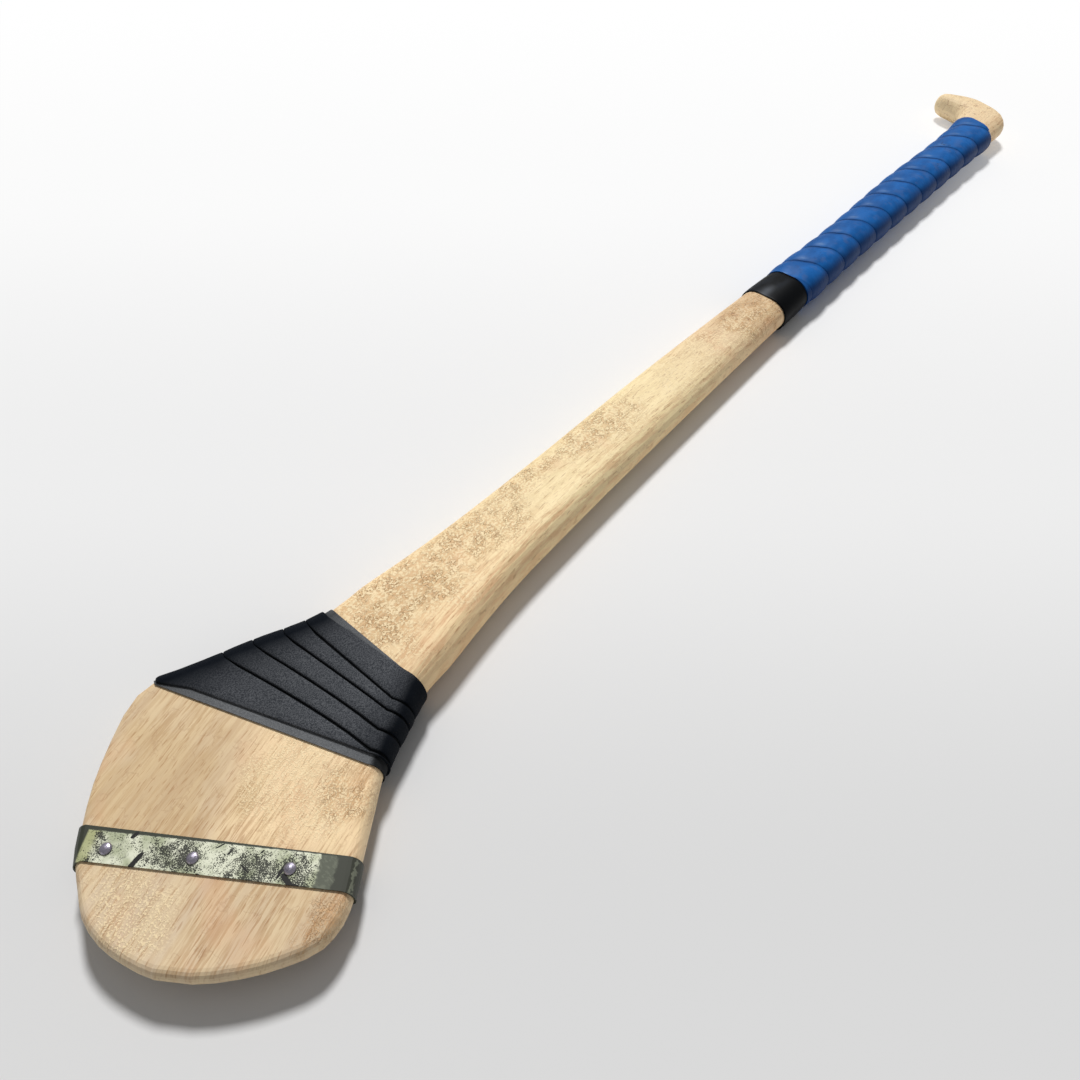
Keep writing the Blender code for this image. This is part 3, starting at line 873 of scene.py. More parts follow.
@dataclass(frozen=True)
class AshFinish(Finish):
    """Dry ash, worn and with stains, its grain leaning into the blade, and a painted light tone on its
    sides.
    """

    stick_length: float = 0.889
    tones: tuple = (
        (0.000, 226, 204, 174),
        (0.050, 218, 193, 159),
        (0.100, 231, 202, 159),
        (0.160, 255, 225, 176),
        (0.250, 255, 234, 184),
        (0.350, 255, 234, 184),
        (0.420, 240, 211, 170),
        (0.480, 232, 203, 167),
        (0.800, 238, 208, 168),
        (0.889, 255, 228, 182),
    )
    cream: Colour = from_screen(255, 232, 188)
    peach: Colour = from_screen(255, 224, 180)
    light_fibre: Colour = from_screen(255, 230, 180)
    fibre: Colour = from_screen(180, 138, 92)
    brown: Colour = from_screen(162, 108, 60)
    soft_brown: Colour = from_screen(206, 174, 128)
    hollow: Colour = from_screen(218, 170, 118)
    reddish: Colour = from_screen(222, 160, 118)
    crack: Colour = from_screen(150, 98, 66)
    olive: Colour = from_screen(255, 216, 160)
    brown_patches: tuple = (
        (0.152, 0.004, 0.034, 0.020),
        (0.200, 0.001, 0.032, 0.016),
        (0.236, 0.008, 0.026, 0.009),
        (0.296, 0.005, 0.034, 0.012),
        (0.445, 0.000, 0.036, 0.018),
        (0.086, -0.048, 0.012, 0.012),
        (0.049, -0.073, 0.012, 0.009),
    )
    cream_patches: tuple = (
        (0.160, 0.000, 0.040, 0.024),
        (0.215, 0.004, 0.040, 0.016),
        (0.075, -0.030, 0.020, 0.026),
        (0.300, 0.000, 0.036, 0.014),
        (0.390, -0.004, 0.056, 0.016),
        (0.014, -0.020, 0.014, 0.020),
        (0.870, 0.020, 0.030, 0.040),
    )
    tan_patches: tuple = (
        (0.152, -0.001, 0.024, 0.012),
        (0.440, 0.001, 0.040, 0.016),
        (0.040, 0.006, 0.030, 0.030),
    )
    stain_start: tuple[float, float] = (0.10, 0.14)
    stain_end: tuple[float, float] = (0.79, 0.84)
    toe_half: tuple[float, float] = (0.034, 0.056)
    blade_end: tuple[float, float] = (0.100, 0.160)
    band_start: tuple[float, float] = (-0.030, -0.012)
    calm_start: tuple[float, float] = (0.110, 0.150)
    toe_side: tuple[float, float] = (0.006, 0.022)
    ring_start: tuple[float, float] = (0.395, 0.440)
    flake_change: tuple[float, float] = (0.105, 0.131)
    blade_flake_scale: float = 1500.0
    shaft_flake_scale: float = 940.0
    flake_rim: float = 0.485
    relief: float = 0.00010

    def lay(self, sheet: Sheet) -> Look:
        """Lay the tones, the grain, the worn patches, the cracks and the painted light tone on the
        sides.

        Args:
            sheet: The material's sheet.

        Returns:
            The look.
        """
        here = sheet.here()
        axes = sheet.effect(stick_axes, Position=here)
        wood = {"Here": here, **axes, **sheet.effect(fibres, Place=axes["Grain Place"])}
        colour = self.tone(sheet, wood).toward(self.light_fibre, wood["Bands"] * 0.30)
        colour = self.streaked(sheet, wood, colour)
        colour, flakes = self.flaked(sheet, wood, colour)
        cracks = self.cracks(sheet, wood)
        # The sides take a painted light tone: cream on the blade and knob, warmer on the shaft.
        shaft_side_share = wood["Shaft"].fade(*self.stain_start) - wood["Shaft"].fade(*self.stain_end)
        side_tone = sheet.blend(shaft_side_share, self.cream, self.olive)
        colour = colour.toward(self.crack, cracks).toward(side_tone, self.side(sheet))
        height = flakes - wood["Streaks"] * 0.35 - cracks
        return Look(colour, wood["Streaks"] * 0.12 + self.roughness, height, self.relief)

    def tone(self, sheet: Sheet, wood: Values) -> Value:
        """Lay the wood's tone, which changes slowly along the stick.

        Args:
            sheet: The material's sheet.
            wood: The stick's axes and its fibres.

        Returns:
            The colour.
        """
        drift = sheet.noise(wood["Grain Place"], 14.0, 3.0)
        share = (drift * 0.050 + wood["Shaft"] - 0.025) / self.stick_length
        colour = sheet.add("ValToRGB", {0: share})
        stops = colour.socket.node.color_ramp.elements
        while len(stops) < len(self.tones):
            stops.new(0.5)
        for stop, (x, *_) in zip(stops, self.tones):
            stop.position = x / self.stick_length
        for stop, (_, *tone) in zip(stops, self.tones):
            stop.color = from_screen(*tone)
        toe_half = wood["Across"].fade(*self.toe_half)
        on_blade = 1.0 - wood["Shaft"].fade(*self.blade_end)
        above_band = 1.0 - wood["Along"].fade(*self.band_start)
        colour = colour.toward(self.peach, toe_half * on_blade * above_band)
        return colour.toward(self.soft_brown, self.worn(sheet, wood, self.tan_patches) * 0.55)

    def worn(self, sheet: Sheet, wood: Values, spots: tuple) -> Value:
        """Return the mask of some worn patches, given along and beside the shaft's axis."""
        return sheet.patches(wood["Plan Place"], spots, 55.0)

    def streaked(self, sheet: Sheet, wood: Values, colour: Value) -> Value:
        """Lay the fibres, redder along the shaft's toe side.

        Args:
            sheet: The material's sheet.
            wood: The stick's axes and its fibres.
            colour: The colour so far.

        Returns:
            The new colour.
        """
        uneven = sheet.noise(wood["Grain Place"], 30.0, 2.0).fade(0.40, 0.62)
        on_shaft = wood["Shaft"].fade(*self.calm_start)
        # The streaks thin out on the sides, under their painted light tone.
        calm = (1.0 - self.side(sheet) * 1.8) * (1.0 - on_shaft * 0.45)
        colour = colour.toward(self.fibre, wood["Streaks"] * (uneven * 0.30 + 0.22) * calm)
        toe_side = (wood["Side"] * -1.0).fade(*self.toe_side)
        colour = colour.toward(self.reddish, wood["Streaks"] * toe_side * on_shaft * 0.42)
        blush = sheet.noise(wood["Grain Place"], 46.0, 3.0).fade(0.56, 0.72)
        return colour.toward(self.reddish, blush * 0.24).toward(self.brown, wood["Pores"] * 0.42)

    def flaked(self, sheet: Sheet, wood: Values, colour: Value) -> tuple[Value, Value]:
        """Flake the worn patches: cream islands with thin brown rims over tan hollows.

        Args:
            sheet: The material's sheet.
            wood: The stick's axes and its fibres.
            colour: The colour so far.

        Returns:
            The new colour and the height of the flakes.
        """
        on_shaft = wood["Shaft"].fade(*self.flake_change)
        change = self.shaft_flake_scale - self.blade_flake_scale
        flakes = sheet.noise(wood["Here"], on_shaft * change + self.blade_flake_scale, 5.0)
        scatter = sheet.noise(wood["Here"], 210.0, 2.0).fade(0.38, 0.60)
        dull = self.worn(sheet, wood, self.brown_patches) * 0.82 + (on_shaft * 0.13 + 0.05)
        hollows = (1.0 - flakes.fade(0.43, 0.50)) * dull * 0.50
        islands = flakes.fade(0.48, 0.59) * self.worn(sheet, wood, self.cream_patches) * 0.70
        rims = (1.0 - abs(flakes - self.flake_rim).fade(0.004, 0.032)) * scatter * dull
        colour = colour.toward(self.hollow, hollows).toward(self.cream, islands)
        return colour.toward(self.brown, rims), islands - rims * 0.8

    def cracks(self, sheet: Sheet, wood: Values) -> Value:
        """Return the mask of the thin cracks by the grip and on the knob."""
        lines = sheet.effect(hairlines, Place=wood["Here"], Scale=130.0)["Mask"]
        return lines * (wood["Shaft"].fade(*self.ring_start) * 0.46 + 0.16)

    def side(self, sheet: Sheet) -> Value:
        """Return how much of the surface is the stick's side, which takes a painted light tone."""
        upward = abs(sheet.split(sheet.add("NewGeometry", output="Normal"))[2])
        return (1.0 - upward.fade(0.15, 0.80)) * 0.35


@dataclass(frozen=True)
class BandFinish(Finish):
    """Pale greenish paint on steel, chipped, specked and worn at the toe side, with painted shade and
    shadow.
    """

    along_middle: float = -0.0168
    half_width: float = 0.0060
    heel_end: tuple[float, float] = (0.0006, 0.0014)
    yellow_end: tuple[float, float] = (0.0050, 0.0085)
    worn_start: tuple[float, float] = (0.0822, 0.0832)
    bare_start: tuple[float, float] = (0.0880, 0.0892)
    last_line: float = 0.0945
    paint: Colour = from_screen(182, 188, 156)
    pale: Colour = from_screen(234, 236, 212)
    yellowed: Colour = from_screen(176, 178, 122)
    speck: Colour = from_screen(26, 28, 20)
    worn: Colour = from_screen(92, 96, 82)
    scraped: Colour = from_screen(128, 132, 114)
    rim: Colour = from_screen(56, 60, 48)
    bare: Colour = from_screen(60, 62, 52)
    black: Colour = from_screen(16, 15, 13)
    dense_specks: tuple = (
        (0.0062, -0.0165, 0.0026, 0.0060),
        (0.0335, -0.0162, 0.0100, 0.0062),
        (0.0590, -0.0150, 0.0110, 0.0060),
        (0.0750, -0.0150, 0.0060, 0.0060),
    )
    tack_dirt: tuple = tuple((x, -0.0166, 0.0024, 0.0024) for x in (0.0095, 0.0393, 0.0722))
    scuffs: tuple = (
        (0.0208, -0.0136, 2.02, 0.0036, 0.00095),
        (0.0172, -0.0219, 2.28, 0.0015, 0.00075),
        (0.0697, -0.0158, 1.90, 0.0030, 0.00060),
        (0.0722, -0.0128, 0.70, 0.0030, 0.00090),
        (0.0752, -0.0113, 0.10, 0.0018, 0.00080),
        (0.0508, -0.0196, 2.20, 0.0010, 0.00035),
        (0.0470, -0.0214, 2.50, 0.0016, 0.00025),
        (0.0615, -0.0210, 2.30, 0.0008, 0.00030),
        (0.0575, -0.0150, 0.60, 0.0022, 0.00030),
        (0.0430, -0.0116, 0.30, 0.0010, 0.00030),
    )
    relief: float = 0.00006

    def lay(self, sheet: Sheet) -> Look:
        """Lay the paint, specks, worn end with painted shade, dark rims, painted shadow round the
        tacks and scuffs.

        Args:
            sheet: The material's sheet.

        Returns:
            The look.
        """
        here = sheet.here()
        axes = sheet.effect(stick_axes, Position=here)
        ragged = sheet.noise(here, 620.0, 3.0)
        across = ragged * 0.0030 + axes["Across"]
        dense = sheet.patches(axes["Blade Place"], self.dense_specks, 300.0)
        strewn = {"Scale": 2600.0, "Cluster_Scale": 300.0, "Clustering": 0.45}
        amount = dense * 0.165 + 0.422
        specks = sheet.effect(speckle, Vector=here, Amount=amount, **strewn)["Mask"]
        stains = sheet.noise(here, 700.0, 4.0).fade(0.56, 0.68)
        drift = sheet.noise(here, 120.0, 3.0).fade(0.38, 0.60)
        colour = sheet.blend(drift, self.paint, self.pale)
        colour = colour.toward(self.yellowed, (1.0 - across.fade(*self.yellow_end)) * 0.75)
        colour = colour.toward(self.worn, stains * 0.40).toward(self.speck, specks * 0.95)
        # The toe side's end: rubbed steel, with painted shade where the band turns round the toe edge.
        worn = across.fade(*self.worn_start)
        colour = colour.toward(self.worn_end(sheet, here, across), worn)
        off_middle = ragged * 0.0006 + abs(axes["Along"] - self.along_middle)
        edge = off_middle.fade(self.half_width - 0.0006, self.half_width - 0.0001)
        rim = sheet.union(edge, 1.0 - axes["Across"].fade(*self.heel_end))
        # Painted shadow round each tack head.
        dirt = sheet.patches(axes["Blade Place"], self.tack_dirt, 900.0)
        scuffs = self.scuffed(sheet, axes["Blade Place"])
        colour = colour.toward(self.rim, rim).toward(self.speck, dirt * 0.65)
        bare = sheet.union(worn, scuffs, specks)
        height = 1.0 - sheet.union(bare, rim)
        colour = colour.toward(self.black, scuffs)
        return Look(colour, bare * 0.12 + self.roughness, height, self.relief)

    def worn_end(self, sheet: Sheet, here: Value, across: Value) -> Value:
        """Lay the rubbed steel at the toe side's end, darkest with painted shade where it turns round
        the toe edge.

        Args:
            sheet: The material's sheet.
            here: The object's own coordinates.
            across: The place across the blade, with a ragged shift.

        Returns:
            Its colour.
        """
        scrapes = sheet.noise(here * (1300.0, 500.0, 900.0), 1.0, 4.0).fade(0.48, 0.66) * 0.45
        rubbed = sheet.blend(scrapes, self.worn, self.scraped)
        rubbed = rubbed.toward(self.bare, across.fade(*self.bare_start))
        line = 1.0 - abs(across - self.last_line).fade(0.0002, 0.0005)
        return rubbed.toward(self.scraped, line * 0.7)

    def scuffed(self, sheet: Sheet, place: Value) -> Value:
        """Lay the black scuffs beside the tacks.

        Args:
            sheet: The material's sheet.
            place: The place on the blade.

        Returns:
            Their mask.
        """
        masks = []
        for x, y, angle, half_length, half_width in self.scuffs:
            bar = {"Centre": (x, y, 0.0), "Half_Length": half_length, "Half_Width": half_width}
            masks.append(sheet.effect(scratch_mark, Place=place, Angle=angle, **bar)["Mask"])
        return sheet.union(*masks)


@dataclass(frozen=True)
class TackFinish(Finish):
    """Bright steel, finely rubbed, with dirt in its marks."""

    steel: Colour = from_screen(190, 184, 200)
    dirt: Colour = from_screen(104, 96, 106)
    relief: float = 0.00001

    def lay(self, sheet: Sheet) -> Look:
        """Lay the rubbed steel.

        Args:
            sheet: The material's sheet.

        Returns:
            The look.
        """
        here = sheet.here()
        strewn = {"Scale": 1400.0, "Cluster_Scale": 300.0, "Clustering": 0.6, "Amount": 0.35}
        dirt = sheet.effect(speckle, Vector=here, **strewn)["Mask"]
        rubbed = sheet.noise(here * (900.0, 3000.0, 900.0), 1.0, 2.0)
        colour = sheet.blend(dirt * 0.5, self.steel, self.dirt)
        return Look(colour, rubbed * 0.2 + self.roughness, rubbed, self.relief)


@dataclass(frozen=True)
class ClothFinish(Finish):
    """Woven cloth that darkens where the mesh's mark named by shade says so."""

    base: Colour = from_screen(52, 55, 60)
    deep: Colour = from_screen(8, 14, 22)
    fleck: Colour = from_screen(104, 106, 110)
    shade: str = "edge_shade"
    relief: float = 0.00010

    def lay(self, sheet: Sheet) -> Look:
        """Lay the weave, its fuzz and its painted shade.

        Args:
            sheet: The material's sheet.

        Returns:
            The look.
        """
        here = sheet.here()
        threads = sheet.effect(weave, Place=here)
        drift = sheet.noise(here, 45.0, 3.0).fade(0.35, 0.65)
        shade = sheet.calc("MULTIPLY_ADD", drift, 0.10, sheet.mark(self.shade), clamp=True)
        colour = sheet.blend(threads["Fuzz"] * 0.80, self.base, self.fleck)
        rough = threads["Fuzz"] * 0.15 + self.roughness
        return Look(colour.toward(self.deep, shade), rough, threads["Height"], self.relief)


@dataclass(frozen=True)
class GripFinish(Finish):
    """Cushioned blue rubber, with painted shade in its grooves and sides, painted highlights and a
    greyer corner.
    """

    blue: Colour = from_screen(20, 94, 168)
    bright: Colour = from_screen(28, 108, 188)
    navy: Colour = from_screen(8, 40, 88)
    groove: Colour = from_screen(8, 42, 90)
    gleam: Colour = from_screen(140, 170, 205)
    greyed: Colour = from_screen(104, 112, 142)
    pit: Colour = from_screen(8, 24, 52)
    edge: Colour = from_screen(186, 200, 214)
    relief: float = 0.00018

    def lay(self, sheet: Sheet) -> Look:
        """Lay the rubber, its painted highlights and painted shade, the greyer corner and the pits.

        Args:
            sheet: The material's sheet.

        Returns:
            The look.
        """
        here, groove = sheet.here(), sheet.mark("groove")
        cloud = sheet.noise(here * (70.0, 110.0, 110.0), 1.0, 3.0)
        fine = sheet.noise(here, 900.0, 3.0)
        # Greyer patches along the toe-side corner.
        rubbed = sheet.noise(here, 150.0, 3.0).fade(0.46, 0.66) * sheet.mark("corner")
        strewn = {"Scale": 480.0, "Cluster_Scale": 60.0, "Clustering": 1.1, "Amount": 0.25}
        near_knob = sheet.split(here)[0].fade(0.200, 0.330)
        pits = sheet.effect(speckle, Vector=here, **strewn)["Mask"] * (near_knob * 0.75 + 0.25)
        colour = sheet.blend(cloud.fade(0.36, 0.64), self.blue, self.bright)
        colour = colour.toward(self.navy, fine * 0.14).toward(self.greyed, rubbed * 0.24)
        # Painted highlights by each turn's lower edge, painted shade in the grooves and on the sides,
        # and a painted highlight along the cut end.
        colour = colour.toward(self.gleam, sheet.mark("gleam") * cloud * 0.65)
        colour = colour.toward(self.groove, groove * 0.80).toward(self.navy, sheet.mark("shaded"))
        colour = colour.toward(self.pit, pits * 0.6).toward(self.edge, sheet.mark("cut_end"))
        rough = groove * 0.25 + (fine * 0.10 + self.roughness)
        wrinkles = sheet.noise(here * (380.0, 110.0, 110.0), 1.0, 2.0)
        return Look(colour, rough, fine * 0.15 + wrinkles - pits * 0.7, self.relief)


@dataclass(frozen=True)
class GlossTapeFinish(Finish):
    """Smooth black electrical tape, with fine wrinkles and fingered patches."""

    black: Colour = from_screen(6, 8, 11)
    grey: Colour = from_screen(26, 30, 36)
    gleam: Colour = from_screen(92, 96, 102)
    relief: float = 0.00010

    def lay(self, sheet: Sheet) -> Look:
        """Lay the smooth tape, its painted highlight near the lower edge and its painted shade on the
        toe side.

        Args:
            sheet: The material's sheet.

        Returns:
            The look.
        """
        here = sheet.here()
        cloud = sheet.noise(here * (60.0, 110.0, 110.0), 1.0, 3.0)
        fine = sheet.noise(here, 1400.0, 2.0)
        colour = sheet.blend(cloud.fade(0.38, 0.62), self.black, self.grey)
        # A painted highlight near the lower edge and painted shade on the toe side.
        colour = colour.toward(self.gleam, sheet.mark("gleam"))
        colour = colour.toward(self.black, sheet.mark("toe_side"))
        return Look(colour, cloud * 0.20 + self.roughness, fine * 0.15 + cloud, self.relief)


@dataclass(frozen=True)
class FloorFinish(Finish):
    """A pale studio floor that brightens to white in the distance."""

    near: Colour = (0.73, 0.73, 0.73, 1.0)
    middle: Colour = (0.89, 0.89, 0.89, 1.0)
    far: Colour = (1.0, 1.0, 1.0, 1.0)
    away: Point = (0.773, 0.635, 0.0)
    near_end: tuple[float, float] = (-0.34, -0.12)
    middle_end: tuple[float, float] = (-0.15, 0.22)
    glow_start: tuple[float, float] = (0.05, 0.75)
    glow_ring: tuple[float, float] = (0.9, 2.6)

    def lay(self, sheet: Sheet) -> Look:
        """Lay the floor's brightening along the studio.

        Args:
            sheet: The material's sheet.

        Returns:
            The look.
        """
        away = sheet.calc("DOT_PRODUCT", sheet.here(), self.away)
        colour = sheet.blend(away.fade(*self.near_end), self.near, self.middle)
        return Look(colour.toward(self.far, away.fade(*self.middle_end)), self.roughness)

    def material(self) -> bpy.types.Material:
        """Make the material, which glows white to the camera where the floor is far.

        Returns:
            The new material.
        """
        material = super().material()
        sheet, nodes = Sheet(material.node_tree), material.node_tree.nodes
        here = sheet.here()
        away = sheet.calc("DOT_PRODUCT", here, self.away).fade(*self.glow_start)
        far = sheet.union(away, sheet.calc("LENGTH", here).fade(*self.glow_ring))
        seen = sheet.add("LightPath", output="Is Camera Ray")
        lit = Value(sheet, nodes["Principled BSDF"].outputs[0])
        glow = sheet.add("Emission", {"Color": self.far, "Strength": 1.0})
        mixed = sheet.add("MixShader", {0: far * seen, 1: lit, 2: glow})
        sheet.feed(nodes["Material Output"].inputs["Surface"], mixed)
        return material


# Sub-assemblies


def settle(piece: bpy.types.Object, finish: Finish, slot: str, *nodes: str) -> None:
    """Finish a piece, fix it to the stick's root body and hide the CAD nodes that it replaces.

    Args:
        piece: The piece to settle.
        finish: Its finish.
        slot: Not used.
        nodes: The CAD nodes that it replaces.
    """
    piece.data.materials.append(finish.material())
    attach(piece, "root")
    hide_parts(*nodes)
    LOG.info("%s: %d faces", piece.name, len(piece.data.polygons))


def carry_over(node: str, material: bpy.types.Material) -> None:
    """Give a CAD node a finer material.

    Args:
        node: The node's name.
        material: Its new material.
    """
    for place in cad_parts[node].material_slots:
        place.material = material
    LOG.info("%s: carried over with %s", node, material.name)


@dataclass
class AshStick:
    """The stick itself, carried over from the CAD."""

    finish: Finish = AshFinish("worn_ash", roughness=0.54, gloss=0.25)

    def build(self) -> None:
        """Dress the stick."""
        carry_over("ash_stick", self.finish.material())


@dataclass
class ToeBand:
    """The steel band round the toe and its six tacks, carried over from the CAD."""

    band: Finish = BandFinish("chipped_paint", roughness=0.48, metallic=0.10)
    tack: Finish = TackFinish("rubbed_steel", roughness=0.22, metallic=1.0)
    tacks_each_side: int = 3

    def build(self) -> None:
        """Dress the band and the tacks."""
        carry_over("toe_band", self.band.material())
        steel = self.tack.material()
        for side in ("front", "back"):
            for number in range(1, self.tacks_each_side + 1):
                carry_over(f"{side}_tack_{number}", steel)


@dataclass
class ShoulderWrap:
    """The cloth tape round the shoulder, and the grey cloth that shows along its edges.

    The edges give each turn's lower edge as a share of the way down the shoulder, at the heel
    edge, at the front's toe corner and at the toe edge. A shade goes from nothing at its first
    number to its third number at its second.
    """

    shape: StickShape
    tape: Finish = ClothFinish("charcoal_cloth_tape", roughness=0.80, gloss=0.12)
    cloth: Finish = ClothFinish(
        "grey_cloth",
        roughness=0.80,
        gloss=0.12,
        base=from_screen(94, 96, 99),
        fleck=from_screen(124, 126, 128),
        deep=from_screen(6, 8, 11),
        shade="covered",
    )
    seat: float = 0.0003
    cloth_thickness: float = 0.0004
    tape_thickness: float = 0.0008
    edges: tuple = (
        (0.150, 0.335, 0.305),
        (0.278, 0.485, 0.460),
        (0.450, 0.700, 0.660),
        (0.620, 0.890, 0.890),
        (0.925, 0.925, 0.925),
    )
    top: float = 0.045
    front_pull: float = 0.43
    groove: float = 0.0010
    closed_groove: float = 0.00005
    groove_start: float = 0.08
    heel_drop: float = 0.060
    heel_drop_end: float = 0.05
    first_station: float = -5.0
    last_station: float = 111.0
    flat_shades: tuple = ((0.20, 0.0, 0.70), (0.60, 0.0, 0.30), (0.92, 1.0, 0.40))
    toe_shade: tuple[float, float, float] = (7.4, 9.4, 0.60)
    cloth_shades: tuple = ((7.0, 8.5, 0.85), (5.4, 5.0, 0.5))
    profile: tuple = (
        (0.0, 0.0), (0.33, 0.0), (0.67, 0.0), (1.0, -0.25),
        (1.0, 0.10), (0.985, 0.55), (0.94, 0.90), (0.67, 1.04),
        (0.33, 1.04), (0.07, 1.0), (0.015, 0.90), (0.0, 0.55),
    )
    cloth_shares: tuple = (0, 0.02, 0.05, 0.1, 0.25, 0.5, 0.75, 0.9, 0.915, 0.925, 0.94, 0.97, 1)
    cloth_shown: float = 0.920
    cover_margin: float = 0.01

    def build(self) -> None:
        """Make the tape, one strip wound down the shoulder side by side, and its cloth."""
        wound = map(self.tape_section, stations(self.first_station, self.last_station))
        piece = skin("shoulder_tape_cloth", wound, Ends.CAPPED)
        settle(piece, self.tape, "shoulder_cloth", "shoulder_tape")
        sleeve = map(self.cloth_section, stations(0.0, RING)[:-1])
        piece = skin("shoulder_cloth", sleeve, Ends.JOINED)
        settle(piece, self.cloth, "underwrap_cloth", "shoulder_underwrap")

    def front_share(self, number: float) -> float:
        """Return a ring point's share of the front, on a straight line over the fanned ribs."""
        share = flat_share(number)
        return share * self.front_pull / (share * self.front_pull + 1 - share)

    def wrap_top(self, number: float) -> float:
        """Return how far down the shoulder the tape starts at a ring point."""
        return self.top * (1 - self.front_share(number))

    def edge(self, station: float) -> float:
        """Find the tape's lower edge.

        Args:
            station: The station round the stick.

        Returns:
            How far down the shoulder the edge lies there.
        """
        last = len(self.edges) - 1
        turn, number = divmod(max(station, 0.0), RING)
        heel, corner, toe = self.edges[min(int(turn), last)]
        next_heel = self.edges[min(int(turn) + 1, last)][0]
        if number <= TOE_CORNER:
            share = self.front_share(number)
            lowered = 1 - smooth_step(share, 0.0, self.heel_drop_end)
            drop = self.heel_drop * lowered if turn >= last else 0.0
            return mix(heel, corner, share) + drop
        if number <= TOE_EDGE:
            return mix(corner, toe, (number - TOE_CORNER) / (TOE_EDGE - TOE_CORNER))
        return mix(toe, next_heel, limit((number - TOE_EDGE) / (RING - HEEL_CORNER - TOE_EDGE)))

    def groove_width(self, station: float) -> float:
        """Return the gap between two turns, which closes round the heel edge."""
        opened = smooth_step(flat_share(ring_of(station)), 0.0, self.groove_start)
        return mix(self.closed_groove, self.groove, opened)

    def edge_shade(self, station: float) -> float:
        """Find how dark the tape is.

        Args:
            station: The station round the stick.

        Returns:
            The darkness there, from its place between the two edges.
        """
        ring = ring_of(station)
        flat = sum(ramp(flat_share(ring), *shade) for shade in self.flat_shades)
        return min(flat + ramp(ring, *self.toe_shade), 1.0)

    def wrap_length(self, station: float) -> float:
        """Return the wrap's length down the shoulder at a station."""
        low, high = (self.shape.local_point(rib, station, 0.0) for rib in self.shape.wrap_ribs)
        return (high - low).length

    def tape_section(self, station: float) -> Section:
        """Make one cross-section of the tape.

        Args:
            station: The station round the stick.

        Returns:
            The section.
        """
        upper, lower = self.wrap_top(max(station, 0.0)), self.edge(station)
        if station >= self.first_station + RING:
            gap = self.groove_width(station) / self.wrap_length(station)
            upper = self.edge(station - RING) + gap
        lift = 2 * self.seat + self.cloth_thickness
        row = []
        for across, rise in self.profile:
            place = self.shape.wrap_place(mix(upper, lower, across))
            row.append(self.shape.point(place, station, lift + rise * self.tape_thickness))
        return row, {"edge_shade": [self.edge_shade(station)] * len(row)}

    def cloth_section(self, station: float) -> Section:
        """Make one cross-section of the cloth, with painted shade under the tape and towards the heel
        and toe edges.

        Args:
            station: The station round the stick.

        Returns:
            The section.
        """
        shade = sum(ramp(ring_of(station), *part) for part in self.cloth_shades)
        top = self.wrap_top(station) + self.cover_margin
        row, cover = [], []
        for share in self.cloth_shares:
            row.append(self.shape.point(self.shape.wrap_place(share), station, self.seat))
            cover.append(shade)
        for share in reversed(self.cloth_shares):
            lift = self.seat + self.cloth_thickness
            row.append(self.shape.point(self.shape.wrap_place(share), station, lift))
            cover.append(1.0 if top < share < self.cloth_shown else shade)
        return row, {"covered": cover}


